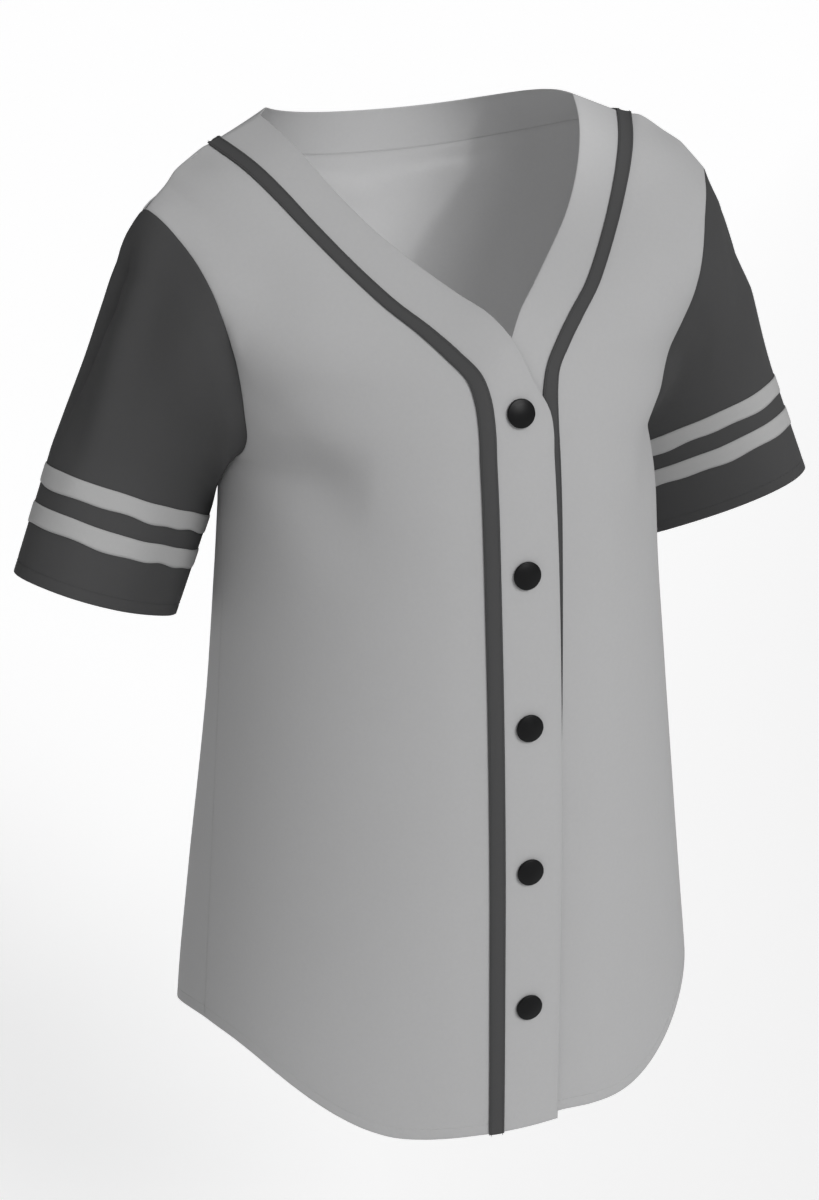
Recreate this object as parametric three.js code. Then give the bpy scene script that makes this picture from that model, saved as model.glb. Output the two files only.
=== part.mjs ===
// Short-sleeved baseball jersey, filled out as if worn, with nobody in it.
// Millimetres. +X is the wearer's left, +Y the back, +Z up. The origin is midway between the two
// shoulder points of the neckline, where the shoulders carry the garment.
import * as THREE from "three";

// Cloth and seams
const CLOTH = 1.6; // wall of a body panel, band or sleeve
const TRIM = 1.0; // wall of the braid and of the sleeve stripes
const SEAM = 0.3; // clear gap where two pieces meet
const BRAID_WIDTH = 10.5;
const UNDERLAP = 4; // how far the left front's band lies behind the right front's
const UNDERLAP_FADE = { from: -128, to: -70, across: 70 }; // heights, and how far out it evens out
const UNDERLAP_SLIDE = 4.2; // how much further the left front slides under towards the hem
const SLIDE_FROM = -200;
const SLIDE_TO = -515;
const HEM_STEP = 2.5; // the left front's placket is this much shorter
const BAND_CROWN = 4; // roundness of the band over the chest
const BAND_FLAT_FROM = -140;
const BAND_FLAT_TO = -60;

// Buttons
const BUTTON_RADIUS = 9;
const BUTTON_RIM = 2.2; // height of the straight edge
const BUTTON_DOME = 1.3; // rise of the dome above the edge
const BUTTON_COUNT = 5;
const BUTTON_TOP = -157; // height of the first button
const BUTTON_PITCH = 99.5;
const BUTTON_SOFT = 0.5; // rounding of the edges
const BUTTON_SIDES = 20;
const BUTTON_RINGS = 4;

// Body below the armholes: plan sections are near ellipses round this line
const AXIS_Y = -28;
const UNDERARM = -215;
const SIDE_SEAM_Y = -16; // the side seam's depth at the underarm
const SIDE_SEAM_HEM_Y = -58; // and at the hem
const CORNER_FADE = 14; // how fast the armpit's corner fades into the panels
const BODY = [
  { z: -665, half: 191.5, front: 172.5, back: 178 },
  { z: -608, half: 186, front: 171.5, back: 175 },
  { z: -553, half: 179, front: 170, back: 172 },
  { z: -457, half: 167, front: 167, back: 163 },
  { z: -357, half: 155.5, front: 161, back: 154 },
  { z: -283, half: 148, front: 154.5, back: 148 },
  { z: UNDERARM, half: 145, front: 147.5, back: 145 },
];

// Shirt-tail hem, by degrees round from the centre front: up to the sides, lowest at the back
const HEM_FRONT = -649;
const HEM_SIDE = -604;
const HEM_BACK = -662;
const HEM_RISE = { from: 24, to: 70 };
const HEM_FALL = { from: 74, to: 136 };

// Each front from the placket's top up to the shoulder seam. The braid row is the middle of the
// braid, the armhole row the sleeve seam; leave and arrive are the plan angles of the cloth there.
const CHEST = [
  { braid: [22, -169, -183], hole: [143, -50, -202], leave: 9, arrive: 81, full: 1.12, lift: 0 },
  { braid: [22, -165, -160], hole: [144.5, -66, -181], leave: 10, arrive: 74, full: 1.11, lift: 0 },
  { braid: [25.5, -157.5, -137], hole: [147, -73, -156], leave: 13, arrive: 66, full: 1.1, lift: 0 },
  { braid: [36, -148, -124], hole: [153, -81, -134], leave: 15, arrive: 58, full: 1.1, lift: 1 },
  { braid: [49, -136.5, -111], hole: [158.5, -85.5, -112], leave: 17, arrive: 48, full: 1.06, lift: 2 },
  { braid: [66, -121.5, -96.5], hole: [163.5, -82, -92], leave: 15, arrive: 38, full: 1.04, lift: 4 },
  { braid: [86, -99, -75], hole: [170.5, -69, -73], leave: 10, arrive: 28, full: 1.02, lift: 6 },
  { braid: [104.5, -75, -52], hole: [178, -56, -60], leave: 4, arrive: 18, full: 1, lift: 7 },
  { braid: [123, -45.5, -28], hole: [184, -43, -52], leave: -8, arrive: 6, full: 1, lift: 8 },
  { braid: [140, -7, -13], hole: [188.5, -32, -48], leave: -22, arrive: -30, full: 1, lift: 12 },
];

// Free edge of each front's band, one row for each height of the braid's middle
const BAND_EDGE = [
  { braidZ: -665, edge: [-23.5, -198.5, -665] },
  { braidZ: -553, edge: [-23.5, -196.5, -553] },
  { braidZ: -457, edge: [-23.5, -193.5, -457] },
  { braidZ: -357, edge: [-23, -187.5, -357] },
  { braidZ: -256, edge: [-22.5, -178.5, -256] },
  { braidZ: -183, edge: [-21.5, -169, -183] },
  { braidZ: -160, edge: [-20.5, -164.5, -159] },
  { braidZ: -146, edge: [-10, -158.5, -137] },
  { braidZ: -137, edge: [0, -153, -115] },
  { braidZ: -124, edge: [10, -141.5, -101.5] },
  { braidZ: -111, edge: [25, -125, -90.5] },
  { braidZ: -96.5, edge: [42, -107, -77] },
  { braidZ: -75, edge: [64, -85, -57] },
  { braidZ: -52, edge: [82, -61, -35] },
  { braidZ: -28, edge: [96.5, -32, -13] },
  { braidZ: -13, edge: [107, 2, 0] },
];

// Back above the underarm, from the centre back to the sleeve seam
const BACK = [
  { rise: 0.22, centre: [0, 118, -175], hole: [146.5, 24, -193], arrive: 78, lift: 0 },
  { rise: 0.45, centre: [0, 118.5, -138], hole: [152.5, 40, -161], arrive: 66, lift: 4 },
  { rise: 0.65, centre: [0, 116.5, -106], hole: [161, 37, -124], arrive: 54, lift: 12 },
  { rise: 0.83, centre: [0, 112.5, -77], hole: [173, 16, -88], arrive: 42, lift: 24 },
];

// Back neckline from the centre back: its roundness there, and its handle at the shoulder
const BACK_NECK = { middle: [0, 110, -50], full: 0.7, handle: [-10, 40, -6] }; // middle of the braid
const BACK_NECK_EDGE = { middle: [0, 104, -21], full: 0.84, handle: [-17, 19, 7] }; // top edge
const BACK_ARRIVES = { neck: [0, -0.3, 0.95], shoulder: [0, -0.97, 0.25] };
const SHOULDER_SHARE = 0.25; // part of the back's top row that is shoulder seam

// Sleeve rings at the upper stripe and the cuff: middle, slope of the ring's plane, half widths and
// turn about the sleeve. Both are cut alike; the right one is filled out a little differently.
const STRIPE_RING = { at: [200, 7, -237], lean: 23, tip: -19, wide: 76, deep: 43.5, turn: -42 };
const SLEEVE = {
  left: [STRIPE_RING, { at: [226, 8.5, -303], lean: 21, tip: -16, wide: 79, deep: 41.5, turn: -44 }],
  right: [STRIPE_RING, { at: [226, 5.5, -305.5], lean: 25.3, tip: -8.4, wide: 80, deep: 44, turn: -45 }],
};
const SLEEVE_SQUARE = 2.3; // superellipse power of a ring
const SLEEVE_START = 214; // ring angle that meets the shoulder seam
const CAP_TOP = [0.38, 0.02, -0.92]; // way the sleeve leaves the shoulder tip
const CAP_SIDE = [0.88, 0, -0.47]; // the front and back of the armhole
const CAP_UNDER = [0.34, 0.12, -0.93]; // and the armpit
const CAP_FULL = 0.8;
const STRIPES_START = 74.5; // from the cuff up to the upper stripe's top edge, even all round
const STRIPES = [
  { name: "upper", from: 0, to: 0.172 },
  { name: "lower", from: 0.338, to: 0.514 },
];

// Fineness of the grids
const FRONT_ACROSS = 12;
const FRONT_FIRST = 0.14; // share of the first column, wider than the braid even at the shoulder
const FRONT_BODY_ROWS = 17; // rows from the hem to the underarm
const ROW_GAP = 20; // a wider gap between the chest's rows gets one more
const BACK_ACROSS = 24;
const BACK_BODY_ROWS = 13;
const BACK_TOP_ROWS = 11; // rows from the underarm to the neck
const NECK_COLUMN = (BACK_ACROSS * SHOULDER_SHARE) / 2; // column of the back where its neck starts
const BAND_ACROSS = 2;
const CAP_STEPS = 8;
const RING_SAMPLES = 72;

// Way out of the cloth along the shoulder seam, for x > 0
const CREST = [0.35, 0, 0.94];

const v3 = (p) => new THREE.Vector3(...p);
const steps = (n) => Array.from({ length: n + 1 }, (_, i) => i / n);
const lerp = THREE.MathUtils.lerp;
const radians = THREE.MathUtils.degToRad;
const smooth = THREE.MathUtils.smoothstep;

// Point at t on a smooth curve through rows of t and p. A row's corner, 0 to 1, sharpens the curve
// there, and its way is the direction in which the curve arrives
function spline(rows, t) {
  let i = 0;
  while (i < rows.length - 2 && t > rows[i + 1].t) i++;
  const a = rows[i];
  const b = rows[i + 1];
  const span = b.t - a.t;
  const slope = (lo, hi) => hi.p.clone().sub(lo.p).divideScalar(hi.t - lo.t);
  const chord = slope(a, b);
  const into = i > 0 ? slope(rows[i - 1], b).lerp(chord, a.corner ?? 0) : chord;
  const next = i < rows.length - 2 ? slope(a, rows[i + 2]).lerp(chord, b.corner ?? 0) : chord;
  const out = b.way ? b.way.clone().multiplyScalar(chord.length()) : next;
  const s = THREE.MathUtils.clamp((t - a.t) / span, 0, 1);
  const s2 = s * s;
  const s3 = s2 * s;
  return a.p
    .clone()
    .multiplyScalar(2 * s3 - 3 * s2 + 1)
    .addScaledVector(into, (s3 - 2 * s2 + s) * span)
    .addScaledVector(b.p, 3 * s2 - 2 * s3)
    .addScaledVector(out, (s3 - s2) * span);
}

// Number column of a table at height z
function column(table, key, z) {
  const rows = table.map((row) => ({ t: row.z, p: new THREE.Vector3(row[key], 0, 0) }));
  return spline(rows, z).x;
}

// Cubic curve from a to b with plan directions in degrees at both ends
function row(a, b, leave, arrive, full, lift) {
  const reach = (a.distanceTo(b) / 3) * full;
  const drop = (b.z - a.z) / 3;
  const plan = (deg, sign) =>
    new THREE.Vector3(Math.cos(radians(deg)) * reach * sign, Math.sin(radians(deg)) * reach * sign, 0);
  const c = a.clone().add(plan(leave, 1));
  const d = b.clone().add(plan(arrive, -1));
  c.z += drop + lift;
  d.z += lift - drop;
  return new THREE.CubicBezierCurve3(a, c, d, b);
}

// Body section at height z: a point at an angle round from the centre front
function bodyPoint(z, angle) {
  const depth = column(BODY, Math.cos(angle) > 0 ? "front" : "back", z);
  return new THREE.Vector3(
    column(BODY, "half", z) * Math.sin(angle),
    AXIS_Y - depth * Math.cos(angle),
    z,
  );
}

function sideAngle(z) {
  const y = THREE.MathUtils.mapLinear(z, HEM_SIDE, UNDERARM, SIDE_SEAM_HEM_Y, SIDE_SEAM_Y);
  const depth = column(BODY, y < AXIS_Y ? "front" : "back", z);
  return Math.PI / 2 + Math.asin((y - AXIS_Y) / depth);
}

function braidAngle(z) {
  return Math.asin(CHEST[0].braid[0] / column(BODY, "half", z));
}

function hemHeight(angle) {
  const round = THREE.MathUtils.radToDeg(angle);
  if (round < HEM_FALL.from) return lerp(HEM_FRONT, HEM_SIDE, smooth(round, HEM_RISE.from, HEM_RISE.to));
  return lerp(HEM_SIDE, HEM_BACK, smooth(round, HEM_FALL.from, HEM_FALL.to));
}

// Front half at x > 0: share 0 is the braid, 1 the side seam or armhole; level is the braid's height
const chestRows = CHEST.map((s) => {
  const curve = row(v3(s.braid), v3(s.hole), s.leave, s.arrive, s.full, s.lift);
  return { t: s.braid[2], at: (share) => curve.getPoint(share) };
});
const bodyRows = (from, to) =>
  BODY.map(({ z }) => ({
    t: z,
    at: (share) => bodyPoint(z, lerp(from(z), to(z), share)),
  }));
const frontRows = [...bodyRows(braidAngle, sideAngle), ...chestRows];

// The side seam ends in a corner at the armpit, which fades into the panel
function surface(rows, share, level) {
  const corner = share ** CORNER_FADE;
  const points = rows.map(({ t, at, way }) => ({
    t,
    p: at(share),
    corner: t === UNDERARM ? corner : 0,
    way: way?.(share),
  }));
  return spline(points, level);
}

// Top row of the back: half the back neck, then the shoulder seam
const shoulderNeck = v3(CHEST.at(-1).braid);
const shoulderTip = v3(CHEST.at(-1).hole);
const neckCurve = ({ middle, full, handle }, end) =>
  new THREE.CubicBezierCurve3(
    v3(middle),
    v3([end.x * full, middle[1], middle[2]]),
    v3(handle).add(end),
    end,
  );
const backNeck = neckCurve(BACK_NECK, shoulderNeck);
const shoulderRow = chestRows.at(-1);

function topRow(share) {
  const neckShare = 1 - SHOULDER_SHARE;
  if (share <= neckShare) return backNeck.getPoint(share / neckShare);
  return shoulderRow.at((share - neckShare) / SHOULDER_SHARE);
}

// Way the back arrives at its top row: upright at the neck, forwards over the shoulder
function topWay(share) {
  const over = smooth(share, 0, 1 - SHOULDER_SHARE);
  return v3(BACK_ARRIVES.neck).lerp(v3(BACK_ARRIVES.shoulder), over).normalize();
}

// Back half at x > 0: share 0 is the centre back, 1 the side seam or armhole
const backCentre = () => Math.PI;
const TOP_LEVEL = 0; // level of the back's top row; rows between it and the underarm share by rise
const backRows = [
  ...bodyRows(backCentre, sideAngle),
  ...BACK.map((s) => {
    const curve = row(v3(s.centre), v3(s.hole), 0, -s.arrive, 1.12, s.lift);
    return { t: lerp(UNDERARM, TOP_LEVEL, s.rise), at: (share) => curve.getPoint(share) };
  }),
  { t: TOP_LEVEL, at: topRow, way: topWay },
];

// Levels of a panel's rows at an angle round the body: even steps from the hem to the underarm,
// then the given ones
function panelLevels(angle, lowerRows, upper) {
  const hem = hemHeight(angle);
  return [...steps(lowerRows).map((s) => lerp(hem, UNDERARM, s)), ...upper];
}

// Table levels above the underarm, with one more in the middle of each wide gap
function chestLevels() {
  const levels = [UNDERARM, ...CHEST.map(({ braid }) => braid[2])];
  return levels.slice(1).flatMap((level, i) => {
    const gap = level - levels[i];
    return gap > ROW_GAP ? [level - gap / 2, level] : [level];
  });
}

// Unit normals of a grid of points, closed on itself in its rows if ring is true
function normals(grid, ring) {
  const last = grid.length - 1;
  const cols = grid[0].length;
  const wrap = (j) => (ring ? (j + cols) % cols : THREE.MathUtils.clamp(j, 0, cols - 1));
  return grid.map((line, i) =>
    line.map((_, j) => {
      const along = line[wrap(j + 1)].clone().sub(line[wrap(j - 1)]);
      const up = grid[Math.min(i + 1, last)][j].clone().sub(grid[Math.max(i - 1, 0)][j]);
      return along.cross(up).normalize();
    }),
  );
}

// Points moved out along their grid's normals; a negative height goes in
function moved(grid, height, ring = false) {
  const out = normals(grid, ring);
  return grid.map((line, i) => line.map((p, j) => p.clone().addScaledVector(out[i][j], height)));
}

// Way out of the cloth on the shoulder
const crest = (p) => new THREE.Vector3(Math.sign(p.x) * CREST[0], CREST[1], CREST[2]).normalize();

// Inner side of a panel. Along a seam with another piece on the shoulder, both take the seam's own
// way out: seams holds a function for each such side of the grid
function inside(grid, thickness, seams = {}) {
  const last = grid.length - 1;
  const end = grid[0].length - 1;
  return moved(grid, -thickness).map((line, i) =>
    line.map((p, j) => {
      const seam =
        (j === 0 && seams.start) ||
        (j === end && seams.end) ||
        (i === 0 && seams.bottom) ||
        (i === last && seams.top);
      return seam ? grid[i][j].clone().addScaledVector(seam(grid[i][j], j, i), -thickness) : p;
    }),
  );
}

// Closed wall between a grid of outer points and one of inner points
function wall(outer, inner, ring = false) {
  const rows = outer.length;
  const cols = outer[0].length;
  const positions = [...outer.flat(), ...inner.flat()].flatMap((p) => [p.x, p.y, p.z]);
  const index = [];
  const quad = (a, b, c, d) => index.push(a, b, c, a, c, d);
  const id = (i, j) => i * cols + (ring ? j % cols : j);
  const under = rows * cols;
  const lastCol = ring ? cols : cols - 1;
  for (let i = 0; i < rows - 1; i++) {
    for (let j = 0; j < lastCol; j++) {
      quad(id(i, j), id(i, j + 1), id(i + 1, j + 1), id(i + 1, j));
      quad(under + id(i, j), under + id(i + 1, j), under + id(i + 1, j + 1), under + id(i, j + 1));
    }
  }
  const top = rows - 1;
  for (let j = 0; j < lastCol; j++) {
    quad(id(0, j), under + id(0, j), under + id(0, j + 1), id(0, j + 1));
    quad(id(top, j), id(top, j + 1), under + id(top, j + 1), under + id(top, j));
  }
  const end = cols - 1;
  for (let i = 0; !ring && i < top; i++) {
    quad(id(i, 0), id(i + 1, 0), under + id(i + 1, 0), under + id(i, 0));
    quad(id(i, end), under + id(i, end), under + id(i + 1, end), id(i + 1, end));
  }
  const geometry = new THREE.BufferGeometry();
  geometry.setAttribute("position", new THREE.Float32BufferAttribute(positions, 3));
  geometry.setIndex(index);
  geometry.computeVertexNormals();
  return geometry;
}

// Draws a grid's borders in by half a seam
function trimmed(grid, sides) {
  const last = grid.length - 1;
  const end = grid[0].length - 1;
  const drawn = (p, next) => p.clone().lerp(next, SEAM / 2 / p.distanceTo(next));
  const lines = grid.map((line) => [...line]);
  for (const line of lines) {
    if (sides.start) line[0] = drawn(line[0], line[1]);
    if (sides.end) line[end] = drawn(line[end], line[end - 1]);
  }
  if (sides.bottom) lines[0] = lines[0].map((p, j) => drawn(p, lines[1][j]));
  if (sides.top) lines[last] = lines[last].map((p, j) => drawn(p, lines[last - 1][j]));
  return lines;
}

// Where the braid that is centred on a join ends, towards the next point
const braidEdge = (join, next) => join.clone().lerp(next, BRAID_WIDTH / 2 / join.distanceTo(next));

// A grid from its columns, each a list of points upwards
const rowsOf = (columns) => columns[0].map((_, k) => columns.map((points) => points[k]));

// A front as outer points at x > 0; its columns run from the braid to the side
function frontGrid() {
  const shares = [0, ...steps(FRONT_ACROSS - 1).map((s) => lerp(FRONT_FIRST, 1, s))];
  const columns = shares.map((share) => {
    const angle = lerp(braidAngle(HEM_SIDE), sideAngle(HEM_SIDE), share);
    const levels = panelLevels(angle, FRONT_BODY_ROWS, chestLevels());
    return levels.map((level) => surface(frontRows, share, level));
  });
  return rowsOf(columns).map(([join, beside, ...rest]) => [join, braidEdge(join, beside), beside, ...rest]);
}

// A front's band at x > 0, from its free edge to the middle of the braid
function bandGrid(front) {
  const edgeRows = BAND_EDGE.map((r) => ({ t: r.braidZ, p: v3(r.edge) }));
  return front.map((line) => {
    const braid = line[0];
    const edge = spline(edgeRows, braid.z);
    const points = steps(BAND_ACROSS).map((share) => {
      const p = edge.clone().lerp(braid, share);
      p.y -= BAND_CROWN * share * (1 - share) * (1 - smooth(p.z, BAND_FLAT_FROM, BAND_FLAT_TO));
      return p;
    });
    points.splice(-1, 0, braidEdge(braid, points.at(-2)));
    return points;
  });
}

// The back as outer points, from the wearer's left side to the right
function backGrid() {
  const upper = steps(BACK_TOP_ROWS).slice(1).map((s) => lerp(UNDERARM, TOP_LEVEL, s));
  const columns = steps(BACK_ACROSS).map((along) => {
    const share = Math.abs(1 - 2 * along);
    const levels = panelLevels(lerp(Math.PI, sideAngle(HEM_SIDE), share), BACK_BODY_ROWS, upper);
    const side = along > 0.5 ? -1 : 1;
    return levels.map((level) => surface(backRows, share, level).multiply(v3([side, 1, 1])));
  });
  const grid = rowsOf(columns);
  grid.splice(-1, 0, grid.at(-1).map((join, j) => braidEdge(join, grid.at(-2)[j])));
  return grid;
}

// The back neck band, from the middle of the braid up to the neckline
function neckGrid(back) {
  const lower = back.at(-1).slice(NECK_COLUMN, -NECK_COLUMN);
  const edge = neckCurve(BACK_NECK_EDGE, v3(BAND_EDGE.at(-1).edge));
  const upper = steps(lower.length - 1).map((along) => {
    const share = 1 - 2 * along;
    const p = edge.getPoint(Math.abs(share));
    return share < 0 ? p.setX(-p.x) : p;
  });
  const grid = steps(BAND_ACROSS).map((share) => lower.map((p, j) => p.clone().lerp(upper[j], share)));
  grid.splice(1, 0, lower.map((join, j) => braidEdge(join, grid[1][j])));
  return grid;
}

// Braid sewn over the join of a band and its panel, half its width on each
const braidGrid = (band, front) =>
  moved(front.map(([join, beside], i) => [band[i].at(-2), join, beside]), SEAM + TRIM);

// The left front's placket goes under the right one's, and comes level again up the neckline
function tucked(grid) {
  return grid.map((line) =>
    line.map((p) => {
      const up = 1 - smooth(p.z, UNDERLAP_FADE.from, UNDERLAP_FADE.to);
      const side = 1 - smooth(p.x, CHEST[0].braid[0] + BRAID_WIDTH / 2, UNDERLAP_FADE.across);
      const slide = 1 - smooth(p.z, SLIDE_TO, SLIDE_FROM);
      const shorter = 1 - smooth(p.z, HEM_FRONT, HEM_SIDE);
      const shift = v3([-UNDERLAP_SLIDE * slide, UNDERLAP * up, HEM_STEP * shorter]);
      return p.clone().addScaledVector(shift, side);
    }),
  );
}

const mirrored = (grid) =>
  grid.map((line) => line.map((p) => new THREE.Vector3(-p.x, p.y, p.z)).reverse());

// A sleeve ring at x > 0, as points for the given shares of its length, from the top by the front
function ringPoints(ring, shares) {
  const lean = radians(ring.lean);
  const tip = radians(ring.tip);
  const axis = new THREE.Vector3(
    Math.sin(lean) * Math.cos(tip),
    Math.sin(tip),
    -Math.cos(lean) * Math.cos(tip),
  );
  const inward = new THREE.Vector3(-Math.cos(lean), 0, -Math.sin(lean));
  const ahead = inward.clone().cross(axis);
  const turn = radians(ring.turn);
  const wide = inward.clone().multiplyScalar(Math.cos(turn)).addScaledVector(ahead, Math.sin(turn));
  const deep = inward.clone().multiplyScalar(-Math.sin(turn)).addScaledVector(ahead, Math.cos(turn));
  const power = (value) => Math.sign(value) * Math.abs(value) ** (2 / SLEEVE_SQUARE);
  const around = steps(RING_SAMPLES).map((s) => {
    const angle = radians(SLEEVE_START - 360 * s);
    return v3(ring.at)
      .addScaledVector(wide, ring.wide * power(Math.cos(angle)))
      .addScaledVector(deep, ring.deep * power(Math.sin(angle)));
  });
  const curve = new THREE.CatmullRomCurve3(around);
  return shares.map((s) => curve.getPointAt(s));
}

// Edge of the armhole at x > 0, from the shoulder tip down the front and up the back
function armhole(front, back) {
  const down = front.slice(FRONT_BODY_ROWS).map((line) => line.at(-1)).reverse();
  const up = back.slice(BACK_BODY_ROWS + 1, -1).map((line) => line[0]);
  return [...down, ...up];
}

// Way the sleeve leaves the armhole at point j
function leaving(hole, j) {
  const lowest = Math.min(...hole.map((p) => p.z));
  const highest = Math.max(...hole.map((p) => p.z));
  const height = (hole[j].z - lowest) / (highest - lowest);
  const along = hole[(j + 1) % hole.length].clone().sub(hole.at(j - 1)).normalize();
  return v3(CAP_UNDER).lerp(v3(CAP_TOP), height).lerp(v3(CAP_SIDE), Math.abs(along.z)).normalize();
}

// A sleeve at x > 0, rows from the armhole to the cuff: outer points, inner points and rings
function sleeveGrid(hole, holeInside, rings) {
  const lengths = [0];
  hole.forEach((p, j) => lengths.push(lengths[j] + p.distanceTo(hole[(j + 1) % hole.length])));
  const shares = hole.map((_, j) => lengths[j] / lengths.at(-1));
  const [ring, cuff] = rings.map((r) => ringPoints(r, shares));
  const stripe = ring.map((p, j) => p.sub(cuff[j]).setLength(STRIPES_START).add(cuff[j]));
  const curves = hole.map((p, j) => {
    const leave = leaving(hole, j);
    const start = p.clone().addScaledVector(leave, SEAM);
    const reach = (start.distanceTo(stripe[j]) * CAP_FULL) / 3;
    const arrive = cuff[j].clone().sub(stripe[j]).normalize();
    return new THREE.CubicBezierCurve3(
      start,
      start.clone().addScaledVector(leave, reach),
      stripe[j].clone().addScaledVector(arrive, -reach),
      stripe[j],
    );
  });
  const between = (share) => stripe.map((p, j) => p.clone().lerp(cuff[j], share));
  const edges = [...STRIPES.flatMap(({ from, to }) => [from, to]), 1].filter((s) => s > 0);
  const outer = [...steps(CAP_STEPS).map((s) => curves.map((c) => c.getPoint(s))), ...edges.map(between)];
  const inner = moved(outer, -CLOTH, true);
  inner[0] = holeInside.map((p, j) => p.clone().addScaledVector(leaving(hole, j), SEAM));
  return { outer, inner, between };
}

// Button turned on its own axis, standing on the band
function buttonGeometry(at, outward) {
  const face = BUTTON_RADIUS - BUTTON_SOFT;
  const dome = steps(BUTTON_RINGS).map((s) => {
    const angle = (Math.PI / 2) * s;
    return new THREE.Vector2(face * Math.cos(angle), BUTTON_RIM + BUTTON_DOME * Math.sin(angle));
  });
  dome.at(-1).x = 0;
  const profile = [
    new THREE.Vector2(0, 0),
    new THREE.Vector2(face, 0),
    new THREE.Vector2(BUTTON_RADIUS, BUTTON_SOFT),
    new THREE.Vector2(BUTTON_RADIUS, BUTTON_RIM - BUTTON_SOFT),
    ...dome,
  ];
  const geometry = new THREE.LatheGeometry(profile, BUTTON_SIDES);
  const turn = new THREE.Quaternion().setFromUnitVectors(new THREE.Vector3(0, 1, 0), outward);
  return geometry.applyQuaternion(turn).translate(at.x, at.y, at.z);
}

function buttonSeat(band, z) {
  const middle = band.map((line) => line.at(-2));
  const k = middle.findIndex((p) => p.z > z);
  const low = middle[k - 1];
  const high = middle[k];
  const at = low.clone().lerp(high, (z - low.z) / (high.z - low.z));
  const up = high.clone().sub(low).normalize();
  const outward = new THREE.Vector3(1, 0, 0).cross(up).normalize();
  return { at: at.addScaledVector(outward, SEAM).setX(0), outward };
}

const cloth = (colour) =>
  new THREE.MeshStandardMaterial({ color: colour, roughness: 0.9, metalness: 0 });
const body = () => cloth(0xa9a9a9);
const dark = () => cloth(0x484848);
const braid = () => cloth(0x464646);
const light = () => cloth(0xa6a6a6);

const jersey = new THREE.Group();

function piece(name, geometry, material) {
  const mesh = new THREE.Mesh(geometry, material);
  mesh.name = name;
  jersey.add(mesh);
}

const front = frontGrid();
const band = bandGrid(front);
const back = backGrid();
const neck = neckGrid(back);
const panelSides = { start: true, end: true, top: true };
const bandSides = { end: true, top: true };
const asIs = (grid) => grid;

// Made at x > 0: the left front as tucked under, the right one level and then mirrored
function addPanel(name, grid, thickness, seams, turned, material) {
  piece(name, wall(turned(grid), turned(inside(grid, thickness, seams))), material);
}

for (const [side, level, turned] of [["left", tucked, asIs], ["right", asIs, mirrored]]) {
  const panel = level(front);
  const placket = level(band);
  const strip = braidGrid(placket, panel);
  const join = normals(panel.map((line, i) => [placket[i].at(-2), line[0], line[1]])).map((line) => line[1]);
  const joinOut = (p, _, i) => (i < join.length - 1 ? join[i] : crest(p));
  const seams = { top: crest };
  addPanel("front_" + side, trimmed(panel, panelSides), CLOTH, { ...seams, start: joinOut }, turned, body());
  addPanel("band_" + side, trimmed(placket, bandSides), CLOTH, { ...seams, end: joinOut }, turned, body());
  addPanel("braid_" + side, trimmed(strip, { top: true }), TRIM, seams, turned, braid());
}

// The back and its neck band share one way out along the neckline
const neckline = [back.at(-2).slice(NECK_COLUMN, -NECK_COLUMN), neck[0], neck[1]];
const necklineOut = normals(neckline)[1];
const backSeams = {
  top: (p, j) => (j > NECK_COLUMN && j < BACK_ACROSS - NECK_COLUMN ? necklineOut[j - NECK_COLUMN] : crest(p)),
};
const neckSeams = { start: crest, end: crest, bottom: (_, j) => necklineOut[j] };
const ends = { start: true, end: true };
addPanel("back", trimmed(back, panelSides), CLOTH, backSeams, asIs, body());
addPanel("neck_band_back", trimmed(neck, { ...ends, bottom: true }), CLOTH, neckSeams, asIs, body());
const backStrip = trimmed(moved(neckline, SEAM + TRIM), ends);
addPanel("braid_back", backStrip, TRIM, { start: crest, end: crest }, asIs, braid());

const frontEdge = trimmed(front, panelSides);
const backEdge = trimmed(back, panelSides);
const hole = armhole(frontEdge, backEdge);
const holeInside = armhole(inside(frontEdge, CLOTH, { top: crest }), inside(backEdge, CLOTH, backSeams));
for (const [side, turned] of [["left", asIs], ["right", mirrored]]) {
  const sleeve = sleeveGrid(hole, holeInside, SLEEVE[side]);
  piece("sleeve_" + side, wall(turned(sleeve.outer), turned(sleeve.inner), true), dark());
  for (const { name, from, to } of STRIPES) {
    const under = [sleeve.between(from), sleeve.between(to)];
    const top = turned(moved(under, SEAM + TRIM, true));
    const bottom = turned(moved(under, SEAM, true));
    piece("stripe_" + name + "_" + side, wall(top, bottom, true), light());
  }
}

const rightBand = mirrored(band);
for (let i = 0; i < BUTTON_COUNT; i++) {
  const { at, outward } = buttonSeat(rightBand, BUTTON_TOP - i * BUTTON_PITCH);
  const plastic = new THREE.MeshStandardMaterial({ color: 0x161616, roughness: 0.4, metalness: 0 });
  piece("button_" + (i + 1), buttonGeometry(at, outward), plastic);
}

export default jersey;
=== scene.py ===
"""Short-sleeved baseball jersey, filled out as if worn, with nobody in it.

Every cloth piece is a thin shell on the form of its solid: the solid's points are read as rows and
columns, drawn finer on a smooth curve, sewn to the neighbouring edges and creased. Braid,
stripes, stitching and buttons are laid on that cloth. Lengths are in metres unless said otherwise.
"""

from __future__ import annotations

import logging
import math
from dataclasses import dataclass, field
from enum import Enum
from typing import Any, Iterable, Optional, Sequence, Union

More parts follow.
